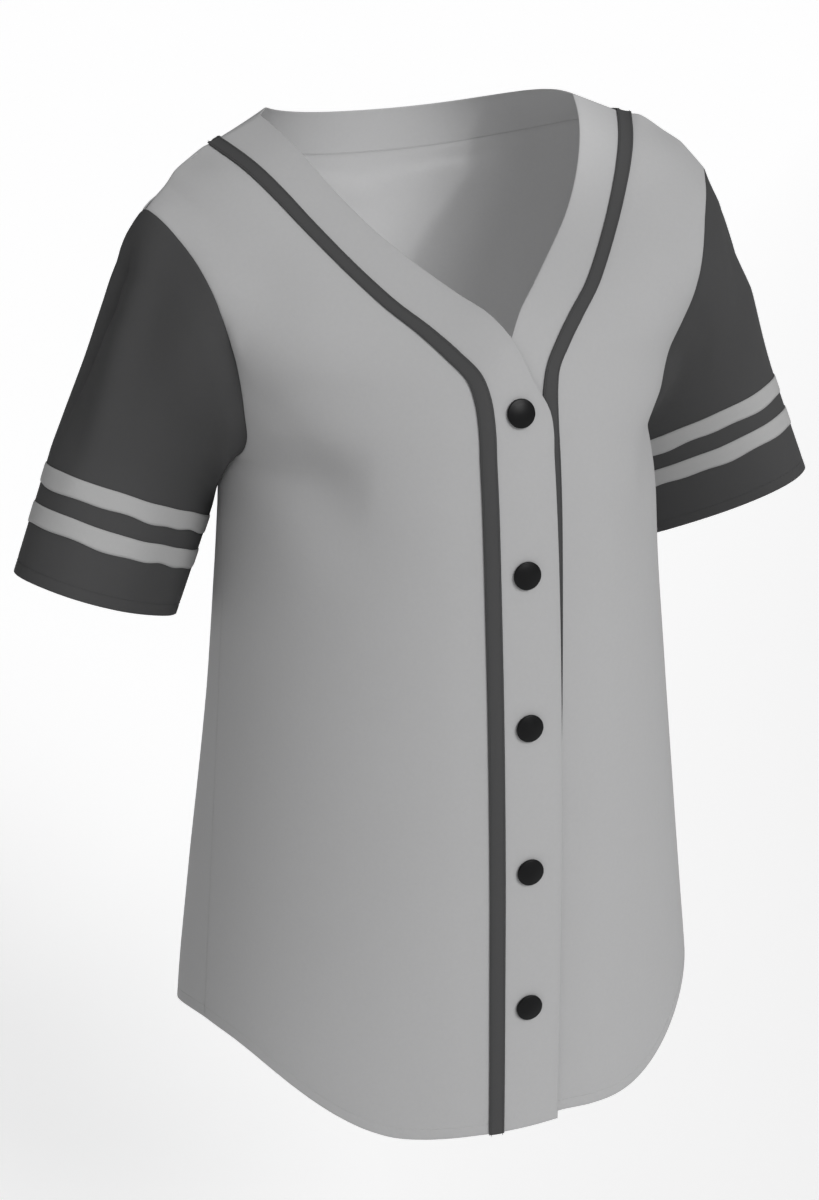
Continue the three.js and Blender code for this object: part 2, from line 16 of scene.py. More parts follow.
import bpy
import numpy as np
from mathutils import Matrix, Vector

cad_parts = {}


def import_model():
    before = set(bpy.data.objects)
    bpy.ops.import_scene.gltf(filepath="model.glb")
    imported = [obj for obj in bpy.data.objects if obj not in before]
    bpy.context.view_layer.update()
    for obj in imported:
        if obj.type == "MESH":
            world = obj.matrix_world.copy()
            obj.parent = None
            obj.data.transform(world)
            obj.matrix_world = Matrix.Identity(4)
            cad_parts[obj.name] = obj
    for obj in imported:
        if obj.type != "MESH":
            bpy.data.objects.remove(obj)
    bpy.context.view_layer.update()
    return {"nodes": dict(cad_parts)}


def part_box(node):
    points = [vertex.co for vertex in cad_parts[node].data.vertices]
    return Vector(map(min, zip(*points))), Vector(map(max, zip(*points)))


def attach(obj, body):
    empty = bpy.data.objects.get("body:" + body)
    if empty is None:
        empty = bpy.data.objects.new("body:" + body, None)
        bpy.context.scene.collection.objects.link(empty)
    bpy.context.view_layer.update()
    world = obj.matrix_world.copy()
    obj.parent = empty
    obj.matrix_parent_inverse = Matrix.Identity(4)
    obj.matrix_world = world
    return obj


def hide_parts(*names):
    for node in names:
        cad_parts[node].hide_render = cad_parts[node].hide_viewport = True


LOG = logging.getLogger("jersey")
MM = 0.001
# walls of the solids, and a point that the outside of the body faces away from
CAD_CLOTH = 1.6 * MM
CAD_TRIM = 1.0 * MM
TORSO = np.array([0.0, -0.028, -0.25])
# where a hem's stitches run, as a share of its depth
STITCH_AT = 0.9
BODY = "root"
SIDES = ("left", "right")
STRIPES = ("upper", "lower")
Triple = tuple[float, float, float]


class Border(Enum):
    """How one side of a piece ends."""

    FREE = "free"
    SEWN = "sewn"
    COVERED = "covered"


class Weave(Enum):
    """How the yarn of a cloth lies."""

    KNIT = "knit"
    RIB = "rib"


# Shader building


class Wire:
    """A socket of a tree that takes part in sums and products."""

    def __init__(self, graph: Graph, socket: bpy.types.NodeSocket) -> None:
        """Keeps the socket and the graph that it belongs to."""
        self.graph = graph
        self.socket = socket

    def _math(self, operation: str, *terms: Term) -> Wire:
        """Adds one Math node."""
        return self.graph.node("ShaderNodeMath", {"operation": operation}, terms)

    def other(self, name: str) -> Wire:
        """Another output of the same node."""
        return Wire(self.graph, self.socket.node.outputs[name])

    def __add__(self, other: Term) -> Wire:
        """Sum."""
        return self._math("ADD", self, other)

    def __sub__(self, other: Term) -> Wire:
        """Difference."""
        return self._math("SUBTRACT", self, other)

    def __rsub__(self, other: Term) -> Wire:
        """Difference from a number on the left."""
        return self._math("SUBTRACT", other, self)

    def __mul__(self, other: Term) -> Wire:
        """Product."""
        return self._math("MULTIPLY", self, other)

    # a number on the left makes no difference to a sum or a product
    __radd__ = __add__
    __rmul__ = __mul__

    def sine(self) -> Wire:
        """Sine of the value."""
        return self._math("SINE", self)

    def absolute(self) -> Wire:
        """Size of the value without its sign."""
        return self._math("ABSOLUTE", self)

    def fraction(self) -> Wire:
        """Part of the value after the point."""
        return self._math("FRACT", self)


Term = Union[Wire, float, int]
Value = Union[Term, Sequence[float], None]


class Graph:
    """The nodes of one tree."""

    def __init__(self, tree: bpy.types.NodeTree) -> None:
        """Takes a tree that has no nodes yet."""
        self.tree = tree

    def node(
        self,
        kind: str,
        settings: Optional[dict[str, Any]] = None,
        values: Union[Sequence[Value], dict[str, Value], None] = None,
        out: Union[int, str] = 0,
    ) -> Wire:
        """Adds a node.

        Args:
            kind: name of the node's type.
            settings: the node's own properties, set first.
            values: numbers or wires for its inputs, in order or by name.
            out: the output that is returned.

        Returns:
            The wire that leaves the chosen output.
        """
        made = self.tree.nodes.new(kind)
        for key, value in (settings or {}).items():
            setattr(made, key, value)
        pairs = values.items() if isinstance(values, dict) else enumerate(values or ())
        for key, value in pairs:
            if isinstance(value, Wire):
                self.tree.links.new(value.socket, made.inputs[key])
            elif value is not None:
                made.inputs[key].default_value = value
        return Wire(self, made.outputs[out])

    def end(self, kind: str, name: str, wire: Wire) -> None:
        """Adds the tree's last node and links a wire to it."""
        self.tree.links.new(wire.socket, self.tree.nodes.new(kind).inputs[name])


class Look(Graph):
    """The nodes of one material."""

    def __init__(self, name: str) -> None:
        """Makes an empty material called name.

        Args:
            name: the material's name.
        """
        self.material = bpy.data.materials.new(name)
        self.material.use_nodes = True
        self.material.node_tree.nodes.clear()
        super().__init__(self.material.node_tree)

    def place(self) -> Wire:
        """Place on the piece, in metres."""
        return self.node("ShaderNodeTexCoord", out="Object")

    def part(self, vector: Wire, axis: str) -> Wire:
        """One coordinate of a vector."""
        return self.node("ShaderNodeSeparateXYZ", {}, [vector], axis)

    def noise(self, at: Wire, scale: float, detail: float = 2.0) -> Wire:
        """Soft random value from 0 to 1 at a place."""
        return self.node("ShaderNodeTexNoise", {}, {"Vector": at, "Scale": scale, "Detail": detail})

    def tint(self, colour: Triple, shade: Wire) -> Wire:
        """A colour made lighter or darker."""
        given = {"Vector": colour, "Scale": shade}
        return self.node("ShaderNodeVectorMath", {"operation": "SCALE"}, given)

    def bump(self, height: Wire, strength: float) -> Wire:
        """Fine relief of the surface."""
        return self.node("ShaderNodeBump", {}, {"Strength": strength, "Distance": 1.0, "Height": height})

    def finish(self, given: dict[str, Value]) -> bpy.types.Material:
        """Ends the tree with a surface of the given values and returns the material."""
        self.end("ShaderNodeOutputMaterial", "Surface", self.node("ShaderNodeBsdfPrincipled", {}, given))
        return self.material


@dataclass(frozen=True)
class ClothFinish:
    """A ribbed or knitted finish that follows the piece's own UV map, which is in metres."""

    name: str
    colour: Triple
    weave: Weave
    pitch: float
    relief: float
    patch_shade: float
    patch_scale: float = 9.0
    patch_detail: float = 3.0
    fibre_scale: float = 420.0
    fibre_shade: float = 0.05
    fibre_relief: float = 0.6
    # painted shade in the yarn's hollows and a little painted light on its crests
    yarn_hollow_shade: float = 0.035
    yarn_relief_shade: float = 0.05
    # painted shade along free and sewn borders
    border_shade_depth: float = 0.06
    rib_depth: float = 0.25
    loop_rate: float = 1.3
    loop_slant: float = 0.45
    wale_depth: float = 0.8
    bump: float = 0.35
    roughness: float = 0.86
    roughness_spread: float = 0.08
    sheen: float = 0.01
    sheen_roughness: float = 0.45
    shine: float = 0.10

    def yarn(self, look: Look) -> Wire:
        """Height of the yarn from 0 to 1.

        Args:
            look: the tree to add to.

        Returns:
            The wire of the height.
        """
        uv = look.node("ShaderNodeUVMap", {"uv_map": "cloth"})
        across, along = (look.part(uv, axis) * (1 / self.pitch) for axis in "XY")
        if self.weave is Weave.RIB:
            ribs = (across * math.pi).sine().absolute()
            return ribs * ((1 - self.rib_depth) + self.rib_depth * (along * (2 * math.pi)).sine())
        wale = (across.fraction() * 2.0 - 1.0).absolute()
        loops = ((along * self.loop_rate + wale * self.loop_slant) * (2 * math.pi)).sine()
        return (loops * 0.5 + 0.5) * (1.0 - (wale - 0.5).absolute() * self.wale_depth)

    def material(self) -> bpy.types.Material:
        """Builds the finish as a material.

        Returns:
            The material.
        """
        look = Look(self.name)
        place = look.place()
        patches = look.noise(place, self.patch_scale, self.patch_detail)
        fibres = look.noise(place, self.fibre_scale)
        yarn = self.yarn(look)
        # painted shade along free and sewn borders, read from the fold attribute
        border_shade = look.node("ShaderNodeAttribute", {"attribute_name": "fold"}, out="Fac")
        shade = 1.0 + (patches - 0.5) * self.patch_shade + (fibres - 0.5) * self.fibre_shade
        # painted shade: darker in the yarn's hollows, a little lighter on its crests, and darker near free
        # and sewn borders
        shade = shade * ((1 - self.yarn_hollow_shade) + yarn * self.yarn_relief_shade) * (1.0 - border_shade * self.border_shade_depth)
        height = yarn * self.relief + fibres * (self.relief * self.fibre_relief)
        return look.finish(
            {
                "Base Color": look.tint(self.colour, shade),
                "Roughness": self.roughness + (patches - 0.5) * self.roughness_spread,
                "Normal": look.bump(height, self.bump),
                "Sheen Weight": self.sheen,
                "Sheen Roughness": self.sheen_roughness,
                "Specular IOR Level": self.shine,
            }
        )


@dataclass(frozen=True)
class PlasticFinish:
    """Moulded plastic of a button."""

    name: str
    colour: Triple
    roughness: float
    roughness_spread: float = 0.12
    cloud_scale: float = 260.0
    cloud_shade: float = 0.3
    grain_scale: float = 1800.0
    grain_relief: float = 0.02 * MM
    bump: float = 0.2
    shine: float = 0.2

    def material(self) -> bpy.types.Material:
        """Builds the finish as a material.

        Returns:
            The material.
        """
        look = Look(self.name)
        place = look.place()
        cloudy = look.noise(place, self.cloud_scale)
        grain = look.noise(place, self.grain_scale, 1.0)
        shade = (1 - self.cloud_shade / 2) + cloudy * self.cloud_shade
        return look.finish(
            {
                "Base Color": look.tint(self.colour, shade),
                "Roughness": self.roughness + (cloudy - 0.5) * self.roughness_spread,
                "Normal": look.bump(grain * self.grain_relief, self.bump),
                "Specular IOR Level": self.shine,
            }
        )


@dataclass(frozen=True)
class FloorFinish:
    """Pale floor that glows evenly, a little darker on the viewer's right, and lights little."""

    albedo: float = 0.85
    roughness: float = 0.9
    glow_far: float = 0.505
    glow_near: float = 0.400
    start: float = -0.5
    end: float = 1.1
    slant: float = 1.2
    bounce: float = 0.3
    cloud_scale: float = 0.8
    cloud_glow: float = 0.006
    blue: float = 1.004

    def material(self) -> bpy.types.Material:
        """Builds the finish as a material.

        Returns:
            The material.
        """
        look = Look("pale_floor")
        place = look.place()
        across, along = (look.part(place, axis) for axis in "XY")
        given = [along - across * self.slant, self.start, self.end, self.glow_near, self.glow_far]
        glow = look.node("ShaderNodeMapRange", {}, given)
        glow = glow + (look.noise(place, self.cloud_scale) - 0.5) * self.cloud_glow
        seen = look.node("ShaderNodeLightPath", out="Is Camera Ray")
        glow = glow * (seen * (1 - self.bounce) + self.bounce)
        return look.finish(
            {
                "Base Color": (self.albedo, self.albedo, self.albedo, 1),
                "Roughness": self.roughness,
                "Specular IOR Level": 0.0,
                "Emission Color": look.node("ShaderNodeCombineXYZ", {}, [glow, glow, glow * self.blue]),
                "Emission Strength": 1.0,
            }
        )


# Points in rows and columns


def lengths(points: np.ndarray, closed: bool = False) -> np.ndarray:
    """Distance travelled along each line of points.

    Args:
        points: points in order along the first axis.
        closed: whether a last step leads back to the first point.

    Returns:
        The distances, starting at 0, along the first axis.
    """
    line = np.concatenate([points, points[:1]]) if closed else points
    steps = np.linalg.norm(np.diff(line, axis=0), axis=-1)
    return np.concatenate([np.zeros((1,) + steps.shape[1:]), np.cumsum(steps, axis=0)])


def curve(knots: np.ndarray, values: np.ndarray, at: np.ndarray, closed: bool) -> np.ndarray:
    """Smooth curve through values.

    Args:
        knots: where each value lies; a closed curve has one knot more, its whole length.
        values: the values, along the first axis.
        at: where to read the curve.
        closed: whether the curve runs on from its end to its start.

    Returns:
        The values read.
    """
    if closed:
        total = knots[-1]
        knots = np.concatenate([knots[-3:-1] - total, knots, knots[1:3] + total])
        values = np.concatenate([values[-2:], values, values[:3]])
    gap = np.diff(knots)
    wide = (slice(None),) + (None,) * (values.ndim - 1)
    slope = np.diff(values, axis=0) / gap[wide]
    left, right = gap[:-1][wide], gap[1:][wide]
    inner = (slope[:-1] * right + slope[1:] * left) / (left + right)
    first = 1.5 * slope[:1] - 0.5 * inner[:1]
    last = 1.5 * slope[-1:] - 0.5 * inner[-1:]
    tangent = np.concatenate([first, inner, last])
    k = np.clip(np.searchsorted(knots, at, side="right") - 1, 0, len(gap) - 1)
    h = gap[k][wide]
    s = ((at - knots[k]) / gap[k])[wide]
    return (
        values[k] * (2 * s**3 - 3 * s**2 + 1)
        + tangent[k] * h * (s**3 - 2 * s**2 + s)
        + values[k + 1] * (3 * s**2 - 2 * s**3)
        + tangent[k + 1] * h * (s**3 - s**2)
    )


def near_line(points: np.ndarray, line: np.ndarray) -> np.ndarray:
    """Nearest point on a line of points.

    Args:
        points: the points to place.
        line: the line's points in order.

    Returns:
        For each point, the nearest place on the line.
    """
    a, step = line[:-1], np.diff(line, axis=0)
    size = np.maximum((step**2).sum(-1), 1e-18)
    t = np.clip(((points[:, None] - a[None]) * step[None]).sum(-1) / size, 0, 1)
    on = a[None] + t[..., None] * step[None]
    best = ((on - points[:, None]) ** 2).sum(-1).argmin(1)
    return on[np.arange(len(points)), best]


def across_normals(grid: np.ndarray, ring: bool) -> np.ndarray:
    """Outward unit normals of a grid of points.

    Args:
        grid: points in rows and columns.
        ring: whether the rows close on themselves.

    Returns:
        A unit vector for each point.
    """
    if ring:
        along = np.roll(grid, -1, axis=1) - np.roll(grid, 1, axis=1)
    else:
        along = np.gradient(grid, axis=1)
    normal = np.cross(along, np.gradient(grid, axis=0))
    return normal / np.maximum(np.linalg.norm(normal, axis=-1, keepdims=True), 1e-12)


class SolidWall:
    """Outer and inner points of a thin solid, read back as rows and columns."""

    match = 0.01 * MM

    def __init__(self, node: bpy.types.Object, wall: float, heart: np.ndarray, ring: bool) -> None:
        """Reads the solid's mesh.

        Args:
            node: the solid's node.
            wall: the solid's wall thickness.
            heart: a point that the outer side faces away from.
            ring: whether the piece closes on itself.
        """
        self.ring = ring
        points, faces = self._merged(node)
        sheets = self._sheets(faces[~self._rim(points, faces, wall)])
        outward = [self._outward(points, sheet, heart) for sheet in sheets]
        outer, inner = sheets[int(np.argmax(outward))], sheets[int(np.argmin(outward))]
        rows = self._walk(points, outer, None)
        self.outer = points[rows]
        self.inner = points[self._walk(points, inner[:, ::-1], self.outer[0, 0])]

    def _merged(self, node: bpy.types.Object) -> tuple[np.ndarray, np.ndarray]:
        """Points and triangles of a copy of the node's mesh with its doubles merged.

        Args:
            node: the solid's node.

        Returns:
            The points, and three of their numbers for each triangle.
        """
        mesh = node.data
        loose = np.zeros(len(mesh.vertices) * 3)
        mesh.vertices.foreach_get("co", loose)
        corners = np.zeros(len(mesh.loops), np.int64)
        mesh.loops.foreach_get("vertex_index", corners)
        loose = loose.reshape(-1, 3)
        cell = np.round(loose / self.match).astype(np.int64)
        _, first, back = np.unique(cell, axis=0, return_index=True, return_inverse=True)
        return loose[first], back.reshape(-1)[corners].reshape(-1, 3)

    def _rim(self, points: np.ndarray, faces: np.ndarray, wall: float) -> np.ndarray:
        """Which faces lie round the rim: they have an edge as long as the wall is thick."""
        edge = points[np.roll(faces, -1, axis=1)] - points[faces]
        return (np.abs(np.linalg.norm(edge, axis=2) - wall) < self.match).any(1)

    @staticmethod
    def _sheets(faces: np.ndarray) -> list[np.ndarray]:
        """The two largest connected groups of faces.

        Args:
            faces: triangles as numbers of their points.

        Returns:
            The triangles of each group.
        """
        parent = {int(v): int(v) for v in np.unique(faces)}

        def root(v: int) -> int:
            """Name of the group that a point is in.

            Args:
                v: the point's number.

            Returns:
                The group's name.
            """
            while parent[v] != v:
                parent[v] = parent[parent[v]]
                v = parent[v]
            return v

        for a, b, c in faces.tolist():
            parent[root(b)] = root(a)
            parent[root(c)] = root(a)
        group = np.array([root(a) for a in faces[:, 0].tolist()])
        names, count = np.unique(group, return_counts=True)
        return [faces[group == names[k]] for k in np.argsort(-count)[:2]]

    @staticmethod
    def _outward(points: np.ndarray, faces: np.ndarray, heart: np.ndarray) -> float:
        """How much the faces look away from the heart."""
        a, b, c = (points[faces[:, k]] for k in range(3))
        return float((np.cross(b - a, c - a) * (a - heart)).sum())

    def _walk(self, points: np.ndarray, faces: np.ndarray, start: Optional[np.ndarray]) -> np.ndarray:
        """Orders one sheet's points.

        Args:
            points: all the points.
            faces: the sheet's triangles, facing out.
            start: where the first point is, or None to find it.

        Returns:
            Indices in rows from the lower or wider end, and columns.
        """
        third: dict[tuple[int, int], int] = {}
        for a, b, c in faces.tolist():
            third.update({(a, b): c, (b, c): a, (c, a): b})
        follow = {a: b for (a, b) in third if (b, a) not in third}
        used = np.bincount(faces.ravel(), minlength=len(points))
        corners = [v for v in follow if self.ring or used[v] == 2]
        if start is None:
            sign = 1.0 if self.ring else -1.0
            first = max(corners, key=lambda v: sign * points[v, 2])
        else:
            first = min(corners, key=lambda v: float(((points[v] - start) ** 2).sum()))
        row = [first]
        while True:
            after = follow[row[-1]]
            if after == first:
                break
            row.append(after)
            if not self.ring and used[after] == 1:
                break
        rows = [row]
        while (row[0], row[1]) in third:
            ahead = row[1:] + row[:1] if self.ring else row[1:]
            above = [third[(a, b)] for a, b in zip(row, ahead)]
            row = above[-1:] + above[:-1] if self.ring else [third[(row[0], above[0])], *above]
            rows.append(row)
        return np.array(rows)


@dataclass
class Crease:
    """A soft trough or ridge in the cloth along a line; a trough has a negative height."""

    start: Triple
    end: Triple
    width: float
    height: float
    ends: float = 0.1
    rounding: float = 1.2

    def lift(self, points: np.ndarray) -> np.ndarray:
        """Height of the crease at each point, in metres.

        Args:
            points: the points, along the last axis.

        Returns:
            One height for each point.
        """
        a, b = np.array(self.start), np.array(self.end)
        way = b - a
        size = np.linalg.norm(way)
        t = ((points - a) @ way) / size**2
        off = points - (a + np.clip(t, 0, 1)[..., None] * way)
        distance = np.linalg.norm(off, axis=-1) / self.width
        share = np.clip(t * (1 - 2 * self.ends) + self.ends, 0, 1)
        fade = np.sin(np.pi * share) ** self.rounding
        return self.height * np.exp(-(distance**2)) * np.nan_to_num(fade)


@dataclass
class Drape:
    """All the creases of the jersey."""

    creases: list[Crease] = field(default_factory=list)
    slide: float = 6 * MM
    spread: float = 0.1

    def one(self, start: Triple, end: Triple, width: float, height: float) -> None:
        """Adds a crease from one end to the other, by how far it spreads and how high it stands."""
        self.creases.append(Crease(start, end, width, height))

    def pair(self, start: Triple, end: Triple, width: float, height: float, other: float = 0.8) -> None:
        """Adds a crease and a similar one, a little lower and wider, on the other side.

        Args:
            start: one end, on the wearer's right.
            end: the other end.
            width: how far it spreads.
            height: how high it stands.
            other: how strong the other side's is.
        """
        self.one(start, end, width, height)
        across = [(-p[0] + self.slide, p[1], p[2] - self.slide) for p in (start, end)]
        self.one(across[0], across[1], width * (1 + self.spread - self.spread * other), height * other)

    def lift(self, points: np.ndarray) -> np.ndarray:
        """Sum of all the creases at each point.

        Args:
            points: the points, along the last axis.

        Returns:
            One height for each point, in metres.
        """
        total = np.zeros(points.shape[:-1])
        for crease in self.creases:
            total += crease.lift(points)
        return total


# Cloth pieces


@dataclass
class Sides:
    """The borders of a piece: first and last row, first and last column."""

    first_row: Border
    last_row: Border
    first_column: Border = Border.COVERED
    last_column: Border = Border.COVERED


class Cloth:
    """One cut piece of cloth as fine outer points and the way in through the cloth."""

    roll = 1.1 * MM
    sink = 0.45 * MM
    near_border = (0.25, 0.7, 1.4, 2.4)
    near_trim = (0.25, 0.8)
    narrow = 3.2
    least_round = 12
    # a free edge rounds off by sinking and thinning, as shares of the thickness
    rounding = 0.42
    thinning = 0.7
    # a turned-up hem is thicker, and its stitches pull it in
    fold_step = 0.5 * MM
    fold_build = 0.55
    stitch_width = 1.3 * MM
    stitch_dip = 0.22 * MM
    # how far the painted shade along free and sewn borders reaches
    border_shade_reach = 1.6 * MM

    def __init__(
        self, wall: SolidWall, fine: float, thickness: float, rows: Optional[np.ndarray] = None
    ) -> None:
        """Draws the solid's points finer.

        Args:
            wall: the solid's points.
            fine: the distance between fine points.
            thickness: the cloth's own thickness.
            rows: knots of the rows, to share with a neighbour.
        """
        self.ring = wall.ring
        self.thickness = thickness
        self.row_knots = lengths(wall.outer).mean(1) if rows is None else rows
        across = lengths(wall.outer.transpose(1, 0, 2), self.ring)
        self.column_knots = across.mean(1)
        self.v = self._samples(self.row_knots[-1], fine, False)
        self.u = self._samples(self.column_knots[-1], fine, self.ring)
        self.outer = self._fine(wall.outer, wall.outer)
        inward = self._fine(wall.inner - wall.outer, wall.outer)
        self.inward = inward / np.linalg.norm(inward, axis=-1, keepdims=True)

    def _samples(self, total: float, fine: float, closed: bool) -> np.ndarray:
        """Places of the fine lines, closer together beside a border.

        Args:
            total: length that they cover.
            fine: the distance between them elsewhere.
            closed: whether the length runs round and has no border.

        Returns:
            The places, from 0 up.
        """
        if closed:
            return np.linspace(0, total, max(self.least_round, round(total / fine)) + 1)[:-1]
        edge = np.array([0.0, *self.near_border]) * MM
        if total < self.narrow * edge[-1]:
            edge = np.array([0.0, *self.near_trim]) * MM
        middle = np.linspace(edge[-1], total - edge[-1], max(2, round(total / fine)) + 1)[1:-1]
        return np.concatenate([edge, middle, total - edge[::-1]])

    def _fine(self, coarse: np.ndarray, place: np.ndarray) -> np.ndarray:
        """Reads coarse rows and columns at the fine places.

        Args:
            coarse: the values to read, in coarse rows and columns.
            place: the cloth's own coarse points, whose spacing sets the pace of each line.

        Returns:
            The values in fine rows and columns.
        """
        both = np.concatenate([coarse, place], axis=-1)
        up = [self._line(column, self.row_knots, self.v, False) for column in both.transpose(1, 0, 2)]
        rows = np.stack(up, axis=1)
        across = [self._line(row, self.column_knots, self.u, self.ring) for row in rows]
        return np.stack(across)[..., :3]

    @staticmethod
    def _line(values: np.ndarray, knots: np.ndarray, at: np.ndarray, closed: bool) -> np.ndarray:
        """Reads one line of values at shared places, at the pace of its own points."""
        own = lengths(values[:, 3:], closed)
        return curve(own, values, np.interp(at, knots, own), closed)

    def edge(self, name: str) -> np.ndarray:
        """Points of one border: first_row, last_row, first_column or last_column.

        Args:
            name: the border.

        Returns:
            Its points in order.
        """
        return {
            "first_row": self.outer[0],
            "last_row": self.outer[-1],
            "first_column": self.outer[:, 0],
            "last_column": self.outer[:, -1],
        }[name]

    def sew(self, name: str, line: np.ndarray, reach: float, most: float = 4 * MM) -> None:
        """Draws a border onto a neighbour's edge.

        Args:
            name: the border.
            line: the neighbour's edge, as points in order.
            reach: how far into the piece the change fades out.
            most: points farther than this from the line stay.
        """
        edge = self.edge(name)
        shift = near_line(edge, line) - edge
        shift[np.linalg.norm(shift, axis=1) > most] = 0
        if name.endswith("row"):
            away = self.v if name == "first_row" else self.v[-1] - self.v
            self.outer += np.clip(1 - away / reach, 0, 1)[:, None, None] ** 2 * shift[None]
        else:
            away = self.u if name == "first_column" else self.u[-1] - self.u
            self.outer += np.clip(1 - away / reach, 0, 1)[None, :, None] ** 2 * shift[:, None]

    def crease(self, drape: Drape) -> None:
        """Lifts the cloth by the creases."""
        lift = drape.lift(self.outer)
        self.outer = self.outer + across_normals(self.outer, self.ring) * lift[..., None]

    def border_distances(self) -> dict[str, np.ndarray]:
        """Distance of every point from each border, along the cloth.

        Returns:
            The distances by the border's name; a ring has row borders only.
        """
        up = lengths(self.outer)
        found = {"first_row": up, "last_row": up[-1:] - up}
        if not self.ring:
            along = lengths(self.outer.transpose(1, 0, 2)).T
            found["first_column"] = along
            found["last_column"] = along[:, -1:] - along
        return found

    def shell(self, sides: Sides, fold: float = 0.0) -> tuple[np.ndarray, np.ndarray, np.ndarray]:
        """Works out both faces of the cloth.

        Args:
            sides: how the borders end.
            fold: depth of the turned-up hem at the free rows, if any.

        Returns:
            Outer points, inner points and how near each is to a free or sewn border, 0 to 1, which sets
            the painted shade there.
        """
        sink = np.zeros(self.outer.shape[:2])
        thick = np.full(self.outer.shape[:2], self.thickness)
        near = np.zeros(self.outer.shape[:2])
        for name, away in self.border_distances().items():
            kind = getattr(sides, name)
            if kind is Border.COVERED:
                continue
            # closeness to a free or sewn border sets the painted shade there
            near = np.maximum(near, np.exp(-away / self.border_shade_reach))
            if kind is Border.SEWN:
                close = np.clip(1 - away / (2 * self.roll), 0, 1)
                sink = np.maximum(sink, self.sink * close**2)
                continue
            close = np.clip(1 - away / self.roll, 0, 1)
            round_off = 1 - np.sqrt(np.clip(1 - close**2, 0, 1))
            sink = np.maximum(sink, self.rounding * self.thickness * round_off)
            thick = thick - self.thinning * self.thickness * round_off
            if fold and name.endswith("row"):
                doubled = 1 / (1 + np.exp((away - fold) / self.fold_step))
                thick = thick + self.fold_build * self.thickness * doubled * (1 - round_off)
                stitched = np.exp(-(((away - fold * STITCH_AT) / self.stitch_width) ** 2))
                sink = np.maximum(sink, self.stitch_dip * stitched)
        outer = self.outer + self.inward * sink[..., None]
        inner = self.outer + self.inward * (sink + thick)[..., None]
        return outer, inner, near

    def line_up(self, share: float, lift: float) -> np.ndarray:
        """A line of points up the piece at a share of its width, just above the cloth.

        Args:
            share: where across the piece, 0 to 1.
            lift: how far above the cloth.

        Returns:
            The line's points.
        """
        at = share * self.u[-1]
        above = self.outer - self.inward * lift
        return np.array([[np.interp(at, self.u, row[:, k]) for k in range(3)] for row in above])

    def line_across(self, border: str, away: float, lift: float) -> np.ndarray:
        """A line of points along a row border at a distance from it, just above the cloth.

        Args:
            border: first_row or last_row.
            away: the distance from it.
            lift: how far above the cloth; below 0 it lies in the cloth.

        Returns:
            The line's points.
        """
        order = slice(None) if border == "first_row" else slice(None, None, -1)
        distance = self.border_distances()[border][order]
        above = (self.outer - self.inward * lift)[order]
        columns = range(distance.shape[1])
        found = [[np.interp(away, distance[:, j], above[:, j, k]) for k in range(3)] for j in columns]
        if self.ring:
            found.append(found[0])
        return np.array(found)


def put(name: str, data: bpy.types.ID) -> bpy.types.Object:
    """Adds an object with its data to the scene.

    Args:
        name: the object's name.
        data: its mesh, light or camera.

    Returns:
        The object.
    """
    made = bpy.data.objects.new(name, data)
    bpy.context.scene.collection.objects.link(made)
    return made


def shell_quads(index: np.ndarray, back: int, ring: bool) -> np.ndarray:
    """Corners of a closed shell's faces: its outside, its inside and its rims.

    Args:
        index: numbers of the outer points, in rows and columns.
        back: what is added to a number to get the inner point's.
        ring: whether the last column is the first one again.

    Returns:
        Four numbers for each face.
    """
    a, b, c, d = index[:-1, :-1], index[:-1, 1:], index[1:, 1:], index[1:, :-1]
    low, high, start, end = index[0], index[-1], index[:, 0], index[:, -1]
    quads = [
        (a, b, c, d),
        (a + back, d + back, c + back, b + back),
        (low[:-1], low[:-1] + back, low[1:] + back, low[1:]),
        (high[:-1], high[1:], high[1:] + back, high[:-1] + back),
    ]
    if not ring:
        quads.append((start[:-1], start[1:], start[1:] + back, start[:-1] + back))
        quads.append((end[:-1], end[:-1] + back, end[1:] + back, end[1:]))
    return np.concatenate([np.stack(corners, -1).reshape(-1, 4) for corners in quads])


def wall_mesh(
    name: str, outer: np.ndarray, inner: np.ndarray, near: np.ndarray, ring: bool
) -> bpy.types.Object:
    """Closed shell between two grids of points, with a UV map in metres.

    Args:
        name: the piece's name.
        outer: outer points in rows and columns.
        inner: inner points.
        near: how near each point is to a free or sewn border, which sets the painted shade there.
        ring: whether the rows close on themselves.

    Returns:
        The object, linked to the scene.
    """
    rows, cols = outer.shape[:2]
    count = rows * cols
    index = np.arange(count).reshape(rows, cols)
    if ring:
        index = np.concatenate([index, index[:, :1]], axis=1)
    quads = shell_quads(index, count, ring)
    mesh = bpy.data.meshes.new(name)
    points = np.concatenate([outer.reshape(-1, 3), inner.reshape(-1, 3)])
    mesh.from_pydata(points.tolist(), [], quads.tolist())
    up = lengths(outer)
    if ring:
        up = np.concatenate([up, up[:, :1]], axis=1)
    along = lengths(outer.transpose(1, 0, 2), ring).T
    middle = along.shape[1] // 2
    uv = np.stack([along - along[:, middle : middle + 1], up], -1).reshape(-1, 2)
    corner = shell_quads(np.arange(len(uv)).reshape(up.shape), 0, ring).reshape(-1)
    mesh.uv_layers.new(name="cloth").data.foreach_set("uv", uv[corner].reshape(-1))
    # the fold attribute carries the painted shade near the borders
    attribute = mesh.attributes.new("fold", "FLOAT", "POINT")
    attribute.data.foreach_set("value", np.concatenate([near.reshape(-1)] * 2))
    mesh.polygons.foreach_set("use_smooth", np.ones(len(quads), bool))
    mesh.update()
    return put(name, mesh)


def dress(piece: bpy.types.Object, material: bpy.types.Material, nodes: Iterable[str]) -> None:
    """Gives a piece its material, its body and the nodes that it stands for.

    Args:
        piece: the finished piece.
        material: its material.
        nodes: names of the solids that it stands for.
    """
    piece.data.materials.clear()
    piece.data.materials.append(material)
    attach(piece, BODY)
    for node in nodes:
        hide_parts(node)
    LOG.info("%s: %d faces", piece.name, len(piece.data.polygons))


# Stitching


